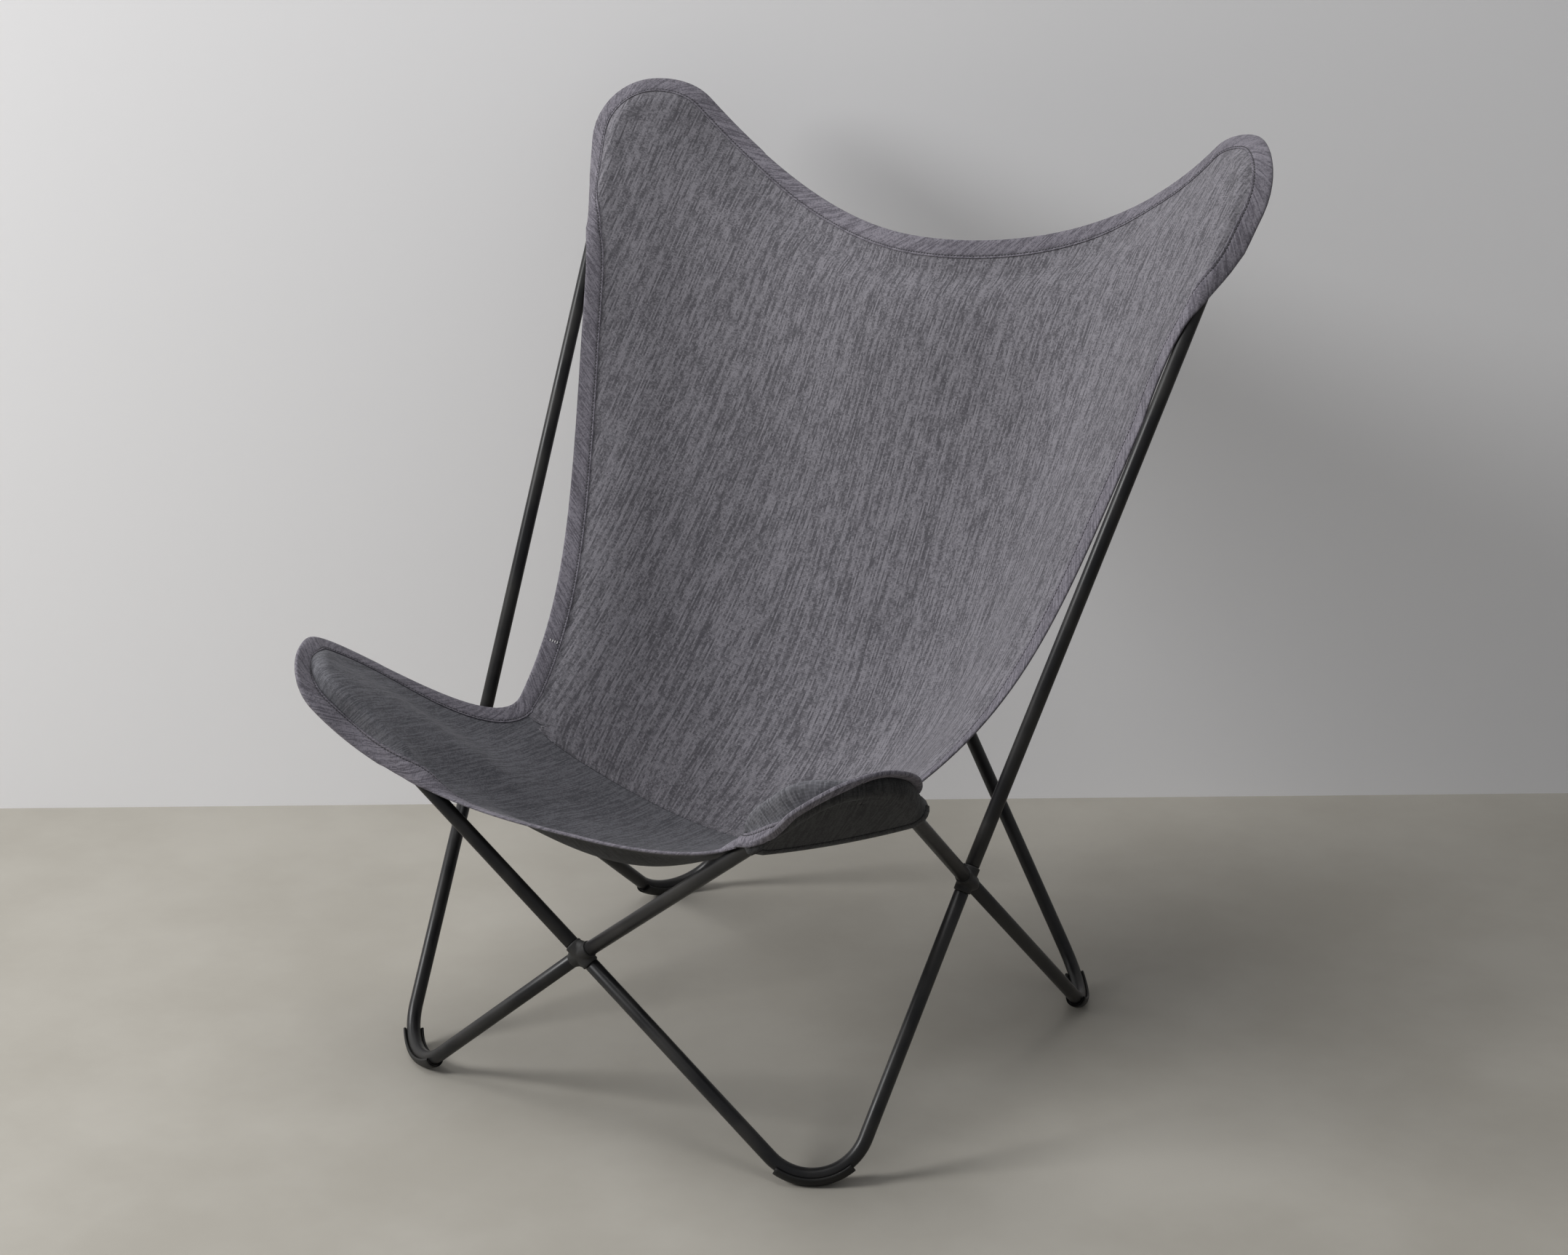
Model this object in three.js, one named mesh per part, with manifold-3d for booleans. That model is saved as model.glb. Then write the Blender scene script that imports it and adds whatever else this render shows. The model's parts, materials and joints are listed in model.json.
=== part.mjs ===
// Butterfly sling chair: eight bent steel tubes plugged together at four cast crosses, four foot glides,
// and a two-panel cloth sling whose four corner pockets hang over the tips of the frame.
// Millimetres. The chair faces -Y, +X is to the right of someone who looks at its front, +Z is up and the
// floor is z = 0. The origin ends up under the middle of the chair's outer box.
import * as THREE from "three";
import { mergeVertices } from "three/addons/utils/BufferGeometryUtils.js";
import Module from "manifold-3d";

// Steel tube
const TUBE_D = 14;
const TUBE_WALL = 1.5;
const TUBE_SIDES = 12;
const BEND_STEPS = 8;
const FOOT_BEND_R = 54;
const WING_BEND_R = 42;

// Corner points, where the two straight legs of a bent tube would meet. X is half the spread.
const FOOT_FRONT = { x: 261, y: -254 };
const FOOT_REAR = { x: 270, y: 254 };
const WING_FRONT = { x: 331, y: -298, z: 451 };
const WING_BACK = { x: 384, y: 383, z: 947 };

// Centres of the crosses, where a wing tube's leg goes on as a foot tube's leg
const CROSS_FRONT = { y: -280, z: 190 };
const CROSS_BACK = { y: 312, z: 379 };
const CROSS_SIDE = { x: 294, y: -68, z: 256 };

// Cast cross
const SHOULDER_D = 16.8;
const SHOULDER_L = 13;
const SHOULDER_CHAMFER = 1.2;
const SPIGOT_L = 30;
const SPIGOT_CHAMFER = 1;
const HUB_D = 28;
const HUB_T = 15;
const FIT = 0.3;

// Foot glide: a half shell clipped under the bend, worn flat where it stands
const GLIDE_WALL = 3;
const GLIDE_WRAP = 176;
const GLIDE_FORE = 34;
const GLIDE_AFT = 40;
const GLIDE_STEPS = 6;
const SOLE_FLAT = 1;

// Cloth
const CLOTH_T = 1.2;
const CLOTH_GAP = 0.4;
const SEAM_ALLOWANCE = 9;
const TAPE_FACE_W = 18;
const TAPE_BACK_W = 6;
const TAPE_T = 1;
const TAPE_ROOM = 0.7;
const CREST_CLEARANCE = 4.4;
const POCKET_CLEARANCE = 0.5;
const DRAPE = 24;

// Rim of the sling about the wing bends: how far it stands out past the tube, how far its round is set aside
// toward the side edge, and how far it is set off the plane of the bend. Rolls take it farther off that plane
// between two angles from the middle of the tip.
const BACK_RIM = { margin: 23, aside: -7, set: -5 };
const BACK_ROLLS = [{ by: 14, from: 0, to: 80 }, { by: 9, from: 0, to: -50 }];
const FRONT_RIM = { margin: 18, aside: 0, set: 8 };
const FRONT_ROLLS_LEFT = [{ by: -30, from: 34, to: -60 }];
const FRONT_ROLLS_RIGHT = [{ by: -17, from: 34, to: -60 }];

// The side edge of each back pocket is tucked behind the tube: how deep, and the lengths along the rim from the
// middle of the tip at which it is full, starts to come forward again and is all the way forward
const TUCK = { depth: 24, full: 104, until: 139, gone: 244 };

// Free edges. Each leaves the round tip at an angle from its middle and runs on straight at either end.
const TOP_EDGE = { leaves: -52, tipRun: 154, midRun: 121 };
const BACK_SIDE = { leaves: 80, tipRun: 358, notchRun: 203 };
const FRONT_SIDE = { leaves: 28, tipRun: 77, notchRun: 77 };
const FRONT_EDGE = { leaves: -78, tipRun: 111, midRun: 64 };
const TOP_MID = { y: 348, z: 766 };
const NOTCH = { x: 233, y: -63, z: 334 };
const NOTCH_TOE_IN = 18;
const NOTCH_PITCH = -20;
const FRONT_MID = { y: -285, z: 308 };

// Seam across the seat, and how steeply the cloth falls inward from the middle of each edge
const SEAM_MID = { y: 20, z: 199 };
const SEAM_DIVE = 39;
const SEAM_END_RUN = 40;
const SEAM_MID_RUN = 87;
const TOP_FALL = 66;
const FRONT_FALL = 27;
const BACK_BELLY = 0;
const SEAT_BELLY = -20;

// Slack in the seat behind the front edge, a little left of the middle: its depth, place and spread
const SLACK = { depth: 42, column: 0.43, row: 0.63, wide: 0.12, deep: 0.33 };

// Cloth is drawn taut over a tube beside the rim, and free of it once the rim is this far above or inside.
const TAUT_FADE = 30;

// How far each pocket reaches along the rim from the middle of its tip, by the edge it runs along
const POCKET_REACH = { backSide: 150, top: 150, frontSide: 125, front: 185 };

// Mesh density of the cloth
const TOP_COLUMNS = 24;
const BACK_ROWS = 10;
const SEAT_ROWS = 9;
const TIP_CROWDING = 1.2;
const EDGE_RINGS = [0, TAPE_FACE_W / 2, TAPE_FACE_W, 26, 34, 45];
const POCKET_RINGS = 3;
const POCKET_COLUMNS = 3;

const TUBE_R = TUBE_D / 2;
const rad = THREE.MathUtils.degToRad;
const at = (p) => new THREE.Vector3(p.x ?? 0, p.y, p.z ?? 0);
const mirror = (p) => new THREE.Vector3(-p.x, p.y, p.z);
const plus = (p, d, s) => p.clone().addScaledVector(d, s);
const toward = (a, b) => b.clone().sub(a).normalize();
const mix = (a, b, t) => a.clone().lerp(b, t);
const smooth = (t) => t * t * (3 - 2 * t);
const clamp01 = (t) => Math.min(1, Math.max(0, t));

// Bend of a tube: its centre, the directions of its middle and toward its first leg, and its half sweep
function bendOf(corner, endA, endB, radius) {
  const u = toward(corner, endA);
  const w = toward(corner, endB);
  const half = u.angleTo(w) / 2;
  const inward = u.clone().add(w).normalize();
  const centre = plus(corner, inward, radius / Math.sin(half));
  const out = inward.clone().negate();
  const across = plus(u, inward, -u.dot(inward)).normalize();
  const normal = out.clone().cross(across);
  return { centre, out, across, normal, radius, halfSweep: Math.PI / 2 - half };
}

// Point of a bend's circle, or of a larger circle about the same centre, at an angle from its middle
function onBend(bend, angle, radius = bend.radius) {
  const p = plus(bend.centre, bend.out, radius * Math.cos(angle));
  return p.addScaledVector(bend.across, radius * Math.sin(angle));
}

// Centre line of a bent tube from leg A, round the bend, to leg B, with one step per leg and even steps in
// the bend
class BentLine extends THREE.Curve {
  constructor(bend, startA, endB, bendSteps) {
    super();
    Object.assign(this, { bend, startA, endB, bendSteps });
  }
  angleAt(t) {
    const s = THREE.MathUtils.clamp(t * (this.bendSteps + 2) - 1, 0, this.bendSteps);
    return this.bend.halfSweep * (1 - (2 * s) / this.bendSteps);
  }
  getPoint(t) {
    const s = t * (this.bendSteps + 2);
    const p = onBend(this.bend, this.angleAt(t));
    if (s < 1) return mix(this.startA, p, s);
    if (s > this.bendSteps + 1) return mix(p, this.endB, s - this.bendSteps - 1);
    return p;
  }
  getPointAt(t) {
    return this.getPoint(t);
  }
  getTangentAt(t) {
    const a = this.angleAt(t);
    const tangent = this.bend.out.clone().multiplyScalar(Math.sin(a));
    return tangent.addScaledVector(this.bend.across, -Math.cos(a));
  }
  // The section's x axis points away from the bend's centre and its y axis stays square to the bend's plane.
  computeFrenetFrames(segments) {
    const frames = { tangents: [], normals: [], binormals: [] };
    for (let i = 0; i <= segments; i++) {
      const tangent = this.getTangentAt(i / segments);
      const normal = this.bend.normal.clone().cross(tangent).normalize();
      frames.tangents.push(tangent);
      frames.normals.push(normal);
      frames.binormals.push(tangent.clone().cross(normal));
    }
    return frames;
  }
}

// Frame points of the right half, with the foot corners let down until the glides' soles reach the floor
const tip = { front: at(WING_FRONT), back: at(WING_BACK) };
const cross = { front: at(CROSS_FRONT), back: at(CROSS_BACK), side: at(CROSS_SIDE) };
const foot = { front: at(FOOT_FRONT), rear: at(FOOT_REAR) };
const STAND_H = TUBE_R + FIT + GLIDE_WALL - SOLE_FLAT;
function lowestOf(bend) {
  return bend.centre.z - bend.radius * Math.hypot(bend.out.z, bend.across.z);
}
function letDown(corner, endA, endB) {
  for (let i = 0; i < 20; i++) {
    corner.z += STAND_H - lowestOf(bendOf(corner, endA, endB, FOOT_BEND_R));
  }
}
letDown(foot.front, cross.front, cross.side);
letDown(foot.rear, cross.back, cross.side);

const wasm = await Module();
wasm.setup();

function toSolid(geometry) {
  const bare = new THREE.BufferGeometry();
  const source = geometry.index ? geometry.toNonIndexed() : geometry;
  bare.setAttribute("position", source.getAttribute("position"));
  const merged = mergeVertices(bare, 1e-4);
  const triVerts = new Uint32Array(merged.index.array);
  const vertProperties = merged.getAttribute("position").array;
  return new wasm.Manifold(new wasm.Mesh({ numProp: 3, vertProperties, triVerts }));
}

function toGeometry(solid) {
  const mesh = solid.getMesh();
  const geometry = new THREE.BufferGeometry();
  geometry.setAttribute("position", new THREE.BufferAttribute(mesh.vertProperties, 3));
  geometry.setIndex(new THREE.BufferAttribute(mesh.triVerts, 1));
  return geometry;
}

// Turns a revolved or extruded shape that stands along +Y, or +Z, to stand along a direction from a point
function stand(geometry, axis, direction, point) {
  const turn = new THREE.Quaternion().setFromUnitVectors(axis, direction);
  return geometry.applyQuaternion(turn).translate(point.x, point.y, point.z);
}

// Section drawn along a tube's centre line from one cross, round a bend, to the next
function alongTube(section, corner, endA, endB, bendRadius) {
  const bend = bendOf(corner, endA, endB, bendRadius);
  const inset = SHOULDER_L + FIT;
  const startA = plus(endA, toward(endA, corner), inset);
  const endOfB = plus(endB, toward(endB, corner), inset);
  return new THREE.ExtrudeGeometry(section, {
    steps: BEND_STEPS + 2,
    extrudePath: new BentLine(bend, startA, endOfB, BEND_STEPS),
    curveSegments: TUBE_SIDES / 2,
  });
}
function bentTube(corner, endA, endB, bendRadius) {
  const section = new THREE.Shape().absarc(0, 0, TUBE_R, 0, 2 * Math.PI);
  section.holes.push(new THREE.Path().absarc(0, 0, TUBE_R - TUBE_WALL, 0, 2 * Math.PI, true));
  return alongTube(section, corner, endA, endB, bendRadius);
}

// Space that a wing tube needs to itself
function wingRoom(corner, endA, endB) {
  const section = new THREE.Shape().absarc(0, 0, TUBE_R + FIT, 0, 2 * Math.PI);
  return alongTube(section, corner, endA, endB, WING_BEND_R);
}

// Cast cross: a lens-shaped hub, a shoulder for each tube to butt on and a spigot that goes up inside it
function castCross(centre, tubeCorners) {
  const shoulder = SHOULDER_D / 2;
  const spigot = (TUBE_R - TUBE_WALL) * Math.cos(Math.PI / TUBE_SIDES) - FIT;
  const tipAt = SHOULDER_L + SPIGOT_L;
  const profile = [
    [0, 0],
    [shoulder, 0],
    [shoulder, SHOULDER_L - SHOULDER_CHAMFER],
    [shoulder - SHOULDER_CHAMFER, SHOULDER_L],
    [spigot, SHOULDER_L],
    [spigot, tipAt - SPIGOT_CHAMFER],
    [spigot - SPIGOT_CHAMFER, tipAt],
    [0, tipAt],
  ].map(([r, h]) => new THREE.Vector2(r, h));
  const legs = tubeCorners.map((corner) => toward(centre, corner));
  const face = legs[0].clone().cross(legs[1]).normalize();
  const lens = new THREE.SphereGeometry(HUB_D / 2, 12, 8).scale(1, HUB_T / HUB_D, 1);
  let solid = toSolid(stand(lens, new THREE.Vector3(0, 1, 0), face, centre));
  for (const leg of legs) {
    const arm = new THREE.LatheGeometry(profile, TUBE_SIDES);
    solid = solid.add(toSolid(stand(arm, new THREE.Vector3(0, 1, 0), leg, centre)));
  }
  return toGeometry(solid);
}

// Half shell under a foot bend, turned to face the floor and cut flat at the floor
function footGlide(corner, endA, endB) {
  const bend = bendOf(corner, endA, endB, FOOT_BEND_R);
  const lowest = Math.atan2(-bend.across.z, -bend.out.z);
  const downOut = plus(bend.out.clone().multiplyScalar(Math.cos(lowest)), bend.across, Math.sin(lowest));
  const inner = TUBE_R + FIT;
  const outer = inner + GLIDE_WALL;
  const part = { ...bend, halfSweep: rad(GLIDE_FORE + GLIDE_AFT) / 2 };
  const middle = lowest + rad(GLIDE_FORE - GLIDE_AFT) / 2;
  part.out = onBend(bend, middle, 1).sub(bend.centre);
  part.across = onBend(bend, middle + Math.PI / 2, 1).sub(bend.centre);
  const first = onBend(part, part.halfSweep);
  const last = onBend(part, -part.halfSweep);
  const line = new BentLine(part, plus(first, part.across, FIT), plus(last, part.across, -FIT), GLIDE_STEPS);
  const lean = Math.atan2(-bend.normal.z, -downOut.z);
  const wrap = rad(GLIDE_WRAP) / 2;
  const facing = Math.sign(line.computeFrenetFrames(1).binormals[0].dot(bend.normal)) * lean;
  const section = new THREE.Shape();
  section.absarc(0, 0, outer, facing - wrap, facing + wrap);
  section.absarc(0, 0, inner / Math.cos(Math.PI / 14), facing + wrap, facing - wrap, true);
  section.closePath();
  const shell = new THREE.ExtrudeGeometry(section, {
    steps: GLIDE_STEPS + 2,
    extrudePath: line,
    curveSegments: 4,
  });
  const below = 4 * outer;
  const floor = new THREE.BoxGeometry(8 * FOOT_BEND_R, 8 * FOOT_BEND_R, below);
  floor.translate(corner.x, corner.y, -below / 2);
  return toGeometry(toSolid(shell).subtract(toSolid(floor)));
}

// Sling

// Wing bend as the cloth meets it. `up` is the sitter's side of its plane.
function wingOf(corner, otherEnd, upHint) {
  const bend = bendOf(corner, cross.side, otherEnd, WING_BEND_R);
  const up = bend.normal.clone().multiplyScalar(Math.sign(bend.normal.dot(upHint)));
  return { bend, up };
}
const wings = {
  back: wingOf(tip.back, cross.back, new THREE.Vector3(0, -1, 0)),
  front: wingOf(tip.front, cross.front, new THREE.Vector3(0, 0, 1)),
};

// Place of a point beside a wing tube: the nearest point of the tube's axis, the direction away from the
// bend, and the distances out from the axis in that direction and toward the sitter
function besideTube(wing, p) {
  const { bend, up } = wing;
  const d = p.clone().sub(bend.centre);
  const angle = Math.atan2(d.dot(bend.across), d.dot(bend.out));
  const within = THREE.MathUtils.clamp(angle, -bend.halfSweep, bend.halfSweep);
  const outward = onBend(bend, within, 1).sub(bend.centre);
  const out = d.dot(outward) - bend.radius;
  const high = d.dot(up);
  return { outward, up, out, high, axis: plus(plus(p, outward, -out), up, -high) };
}
const fromTube = (place, out, high) => plus(plus(place.axis, place.outward, out), place.up, high);

// Cloth never comes closer to a tube than this, and falls away from it in a parabola on the sitter's side
const CREST = TUBE_R + CREST_CLEARANCE + CLOTH_T / 2;
function drapedOver(p) {
  let q = p;
  for (const wing of Object.values(wings)) {
    const place = besideTube(wing, q);
    if (place.out > 0) {
      const away = Math.max(1, CREST / Math.hypot(place.out, place.high));
      q = fromTube(place, place.out * away, place.high * away);
    } else {
      q = fromTube(place, place.out, Math.max(place.high, CREST - place.out ** 2 / DRAPE));
    }
  }
  return q;
}

// Point at a length of cloth from the rim, along cloth drawn tight over the tube: straight to the tube,
// round it to its crest, and level from there
function tautOver(place, length) {
  const reach = Math.hypot(place.out, place.high);
  const start = Math.atan2(place.high, place.out);
  if (place.out <= 0 || reach <= CREST) return fromTube(place, place.out - length, place.high);
  const touch = start + Math.acos(CREST / reach);
  const straight = Math.sqrt(reach ** 2 - CREST ** 2);
  const top = Math.PI / 2;
  if (touch >= top) return fromTube(place, place.out - length, place.high);
  if (length < straight) {
    const t = length / straight;
    const out = (1 - t) * place.out + t * CREST * Math.cos(touch);
    const high = (1 - t) * place.high + t * CREST * Math.sin(touch);
    return fromTube(place, out, high);
  }
  const round = touch + (length - straight) / CREST;
  if (round < top) return fromTube(place, CREST * Math.cos(round), CREST * Math.sin(round));
  return fromTube(place, -(round - top) * CREST, CREST);
}

// Rounded end of the rim about a wing bend, between two angles from its middle
class RimArc extends THREE.Curve {
  constructor(wing, shape, rolls, toAngle) {
    super();
    Object.assign(this, { wing, shape, rolls, toAngle });
  }
  getPoint(t) {
    const { wing, shape, rolls } = this;
    const degrees = this.toAngle * t;
    const rolled = rolls.map(({ by, from, to }) => by * smooth(clamp01((degrees - from) / (to - from))));
    const lift = rolled.reduce((sum, by) => sum + by, shape.set);
    const inPlane = onBend(wing.bend, rad(degrees), WING_BEND_R + TUBE_R + shape.margin);
    return plus(plus(inPlane, wing.bend.across, shape.aside), wing.up, lift);
  }
}

// One run of the rim, from the middle of a tip, round it and along a free edge to the edge's far end
function rimRun(wing, shape, rolls, edge, end, endHeading, endRun) {
  const arc = new RimArc(wing, shape, rolls, edge.leaves);
  const from = arc.getPoint(1);
  const heading = toward(arc.getPoint(0.995), from);
  const run = new THREE.CurvePath();
  run.add(arc);
  const leave = plus(from, heading, edge.tipRun);
  const arrive = plus(end, endHeading, -endRun);
  run.add(new THREE.CubicBezierCurve3(from, leave, arrive, end));
  return run;
}

// How far the rim is tucked behind the tube at a length from the middle of the tip
function tuckAt(length) {
  const comingForward = smooth(clamp01((length - TUCK.until) / (TUCK.gone - TUCK.until)));
  return TUCK.depth * smooth(clamp01(length / TUCK.full)) * (1 - comingForward);
}

// Stations along a run, crowded toward the tip. Each holds the rim point, the rings of cloth inward of it,
// with their twist evened out along the run, and whether the pocket doubles the cloth there.
function stationsOf(run, count, wing, endInward, pocketReach, tucked) {
  const whole = run.getLength();
  const rims = [];
  for (let i = 0; i <= count; i++) {
    const part = (i / count) ** TIP_CROWDING;
    const behind = tucked ? tuckAt(part * whole) : 0;
    rims.push(drapedOver(plus(run.getPoint(part), wing.up, -behind)));
  }
  const stations = rims.map((rim, i) => {
    const part = (i / count) ** TIP_CROWDING;
    const along = toward(rims[Math.max(0, i - 1)], rims[Math.min(count, i + 1)]);
    const place = besideTube(wing, rim);
    const inward = mix(place.outward.clone().negate(), endInward, smooth(part)).normalize();
    if (i < count) inward.addScaledVector(along, -inward.dot(along)).normalize();
    const free = smooth(clamp01(Math.max(place.high - CREST, -place.out) / TAUT_FADE));
    const rings = EDGE_RINGS.map((length) => {
      if (length === 0) return rim;
      return drapedOver(mix(tautOver(place, length), plus(rim, inward, length), free));
    });
    return { rings, place, doubled: part * whole <= pocketReach };
  });
  const evened = stations.map(({ rings }, i) => {
    if (i === 0 || i === count) return rings;
    return rings.map((p, r) => {
      if (r === 0) return p;
      const fromRim = [-1, 0, 0, 1].map((k) => {
        const near = stations[i + k].rings;
        return near[r].clone().sub(near[0]);
      });
      return drapedOver(fromRim.reduce((sum, d) => plus(sum, d, 1 / 4), rings[0].clone()));
    });
  });
  return stations.map((station, i) => ({ ...station, rings: evened[i] }));
}

const sloped = (x, y, degrees) => {
  const flat = new THREE.Vector3(x, y, 0).normalize().multiplyScalar(Math.cos(rad(degrees)));
  return flat.setZ(-Math.sin(rad(degrees)));
};
const level = new THREE.Vector3(1, 0, 0);
const notchInward = sloped(-1, 0, SEAM_DIVE);

// The four runs of one half, worked out on the right side and turned over for the left
function halfRim(frontRolls, turned) {
  const notch = at(NOTCH);
  const toe = rad(NOTCH_TOE_IN);
  const notchForward = sloped(-Math.sin(toe), -Math.cos(toe), -NOTCH_PITCH);
  const notchBackward = notchForward.clone().negate();
  const { back, front } = wings;
  const inwardOfTop = sloped(0, -1, TOP_FALL);
  const inwardOfFront = sloped(0, 1, FRONT_FALL);
  const leftward = level.clone().negate();
  const runs = {
    backSide: [back, BACK_RIM, BACK_ROLLS, BACK_SIDE, notch, notchForward, BACK_SIDE.notchRun],
    top: [back, BACK_RIM, BACK_ROLLS, TOP_EDGE, at(TOP_MID), leftward, TOP_EDGE.midRun],
    frontSide: [front, FRONT_RIM, frontRolls, FRONT_SIDE, notch, notchBackward, FRONT_SIDE.notchRun],
    front: [front, FRONT_RIM, frontRolls, FRONT_EDGE, at(FRONT_MID), leftward, FRONT_EDGE.midRun],
  };
  const across = TOP_COLUMNS / 2;
  const counts = { backSide: BACK_ROWS, top: across, frontSide: SEAT_ROWS, front: across };
  const inward = { backSide: notchInward, top: inwardOfTop, frontSide: notchInward, front: inwardOfFront };
  const half = {};
  for (const [name, run] of Object.entries(runs)) {
    const tucked = name === "backSide";
    const stations = stationsOf(rimRun(...run), counts[name], run[0], inward[name], POCKET_REACH[name], tucked);
    half[name] = turned ? stations.map(turnOver) : stations;
  }
  half.top[0] = half.backSide[0];
  half.front[0] = half.frontSide[0];
  return half;
}
function turnOver(station) {
  const { axis, outward, up, out, high } = station.place;
  const place = { axis: mirror(axis), outward: mirror(outward), up: mirror(up), out, high };
  return { ...station, place, rings: station.rings.map(mirror) };
}
const leftRim = halfRim(FRONT_ROLLS_LEFT, true);
const rightRim = halfRim(FRONT_ROLLS_RIGHT, false);

// Rim of a panel from the left notch, round both tips, to the right notch
function panelRim(side, middle) {
  return [
    ...leftRim[side].slice(1).reverse(),
    ...leftRim[middle].slice(0, -1),
    ...rightRim[middle].slice(1).reverse(),
    ...rightRim[side],
  ];
}

// Seam points from the left notch's innermost ring to the right one's, one for each column
const crowded = (t) => t ** TIP_CROWDING;
const columnAt = (j) => {
  const s = (2 * j) / TOP_COLUMNS;
  return s <= 1 ? crowded(s) / 2 : 1 - crowded(2 - s) / 2;
};
function seamLine() {
  const end = rightRim.backSide.at(-1).rings.at(-1);
  const mid = at(SEAM_MID);
  const curve = new THREE.CubicBezierCurve3(
    end,
    plus(end, notchInward, SEAM_END_RUN),
    plus(mid, level, SEAM_MID_RUN),
    mid,
  );
  const points = [];
  for (let j = 0; j <= TOP_COLUMNS; j++) {
    const u = columnAt(j);
    const p = curve.getPointAt(1 - Math.abs(2 * u - 1));
    points.push(u < 0.5 ? mirror(p) : p);
  }
  return points;
}

// Cloth mesh: points, and faces of four that turn the same way
class Cloth {
  points = [];
  faces = [];
  add(p) {
    return this.points.push(p) - 1;
  }
  // Strips of faces between neighbouring rows of point numbers
  join(rows) {
    for (let i = 0; i + 1 < rows.length; i++) {
      for (let j = 0; j + 1 < rows[i].length; j++) {
        const face = [rows[i][j], rows[i][j + 1], rows[i + 1][j + 1], rows[i + 1][j]];
        this.faces.push([...new Set(face)]);
      }
    }
  }
  normals() {
    const normals = this.points.map(() => new THREE.Vector3());
    for (const face of this.faces) {
      const [a, b, c, d] = [face[0], face[1], face[2], face.at(-1)].map((k) => this.points[k]);
      const n = c.clone().sub(a).cross(d.clone().sub(b));
      face.forEach((k) => normals[k].add(n));
    }
    return normals.map((n) => n.normalize());
  }
  // Solid of an even thickness about the mesh, closed along every open edge
  thicken(thickness) {
    const normals = this.normals();
    const upper = this.points.map((p, k) => plus(p, normals[k], thickness / 2));
    const lower = this.points.map((p, k) => plus(p, normals[k], -thickness / 2));
    const count = this.points.length;
    const triangles = [];
    const open = new Map();
    for (const face of this.faces) {
      for (let k = 1; k + 1 < face.length; k++) {
        const [a, b, c] = [face[0], face[k], face[k + 1]];
        triangles.push(a, b, c, a + count, c + count, b + count);
      }
      face.forEach((a, k) => {
        const b = face[(k + 1) % face.length];
        if (!open.delete(b + "," + a)) open.set(a + "," + b, [a, b]);
      });
    }
    for (const [a, b] of open.values()) {
      triangles.push(a, a + count, b + count, a, b + count, b);
    }
    return solidFrom([...upper, ...lower], triangles);
  }
}
function solidFrom(points, triangles) {
  const geometry = new THREE.BufferGeometry().setFromPoints(points);
  geometry.setIndex(triangles);
  return geometry;
}

// Sheet stretched between four edges, given the edges' points and where each lies from 0 to 1
function stretched(bottom, top, left, right, us, vs) {
  return vs.map((v, i) =>
    us.map((u, j) => {
      const p = bottom[j].clone().multiplyScalar(1 - v).addScaledVector(top[j], v);
      p.addScaledVector(left[i], 1 - u).addScaledVector(right[i], u);
      p.addScaledVector(bottom[0], -(1 - u) * (1 - v)).addScaledVector(bottom.at(-1), -u * (1 - v));
      return p.addScaledVector(top[0], -(1 - u) * v).addScaledVector(top.at(-1), -u * v);
    }),
  );
}

const drapedEitherSide = (p) => (p.x < 0 ? mirror(drapedOver(mirror(p))) : drapedOver(p));

// Rows of a panel from the seam to its far edge, inside the rings of its rim
function panelSheet(rim, seam, rows, belly, slackDepth) {
  const inner = rim.map((station) => station.rings.at(-1));
  const us = seam.map((_, j) => columnAt(j));
  const vs = Array.from({ length: rows + 1 }, (_, i) => 1 - crowded(1 - i / rows));
  const left = inner.slice(0, rows + 1);
  const right = inner.slice(-rows - 1).reverse();
  const far = inner.slice(rows, rows + TOP_COLUMNS + 1);
  const sheet = stretched(seam, far, left, right, us, vs);
  return sheet.map((row, i) =>
    row.map((p, j) => {
      const onEdge = i === 0 || i === rows || j === 0 || j === TOP_COLUMNS;
      if (onEdge) return p;
      const hollow = 16 * us[j] * (1 - us[j]) * vs[i] * (1 - vs[i]);
      const off = ((us[j] - SLACK.column) / SLACK.wide) ** 2 + ((vs[i] - SLACK.row) / SLACK.deep) ** 2;
      const slack = plus(p, belly, hollow);
      slack.z -= slackDepth * Math.exp(-off) * Math.min(1, 2 * hollow);
      return drapedEitherSide(slack);
    }),
  );
}

// Points of a seam edge, from rim to rim, that the rings at either notch add to the seam line
const notchToNotch = (rim, seam) => [
  ...rim[0].rings.slice(0, -1),
  ...seam,
  ...rim.at(-1).rings.slice(0, -1).reverse(),
];

const seam = seamLine();
const backRim = panelRim("backSide", "top");
const seatRim = panelRim("frontSide", "front");
const backSheet = panelSheet(backRim, seam, BACK_ROWS, sloped(0, 1, 60).multiplyScalar(BACK_BELLY), 0);
const seatSheet = panelSheet(seatRim, seam, SEAT_ROWS, new THREE.Vector3(0, 0, -SEAT_BELLY), SLACK.depth);

// At the seam each panel stops half a cloth short and turns down into its seam allowance.
function seamSides() {
  const line = notchToNotch(backRim, seam);
  const next = (rim, sheet) => [
    ...rim[1].rings.slice(0, -1),
    ...sheet[1],
    ...rim.at(-2).rings.slice(0, -1).reverse(),
  ];
  const behind = next(backRim, backSheet);
  const ahead = next(seatRim, seatSheet);
  return line.map((p, k) => {
    const along = toward(line[Math.max(0, k - 1)], line[Math.min(line.length - 1, k + 1)]);
    const apart = toward(p, behind[k]).sub(toward(p, ahead[k]));
    apart.addScaledVector(along, -apart.dot(along)).normalize();
    return { apart, down: apart.clone().cross(along).normalize() };
  });
}
const seamFrames = seamSides();

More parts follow.
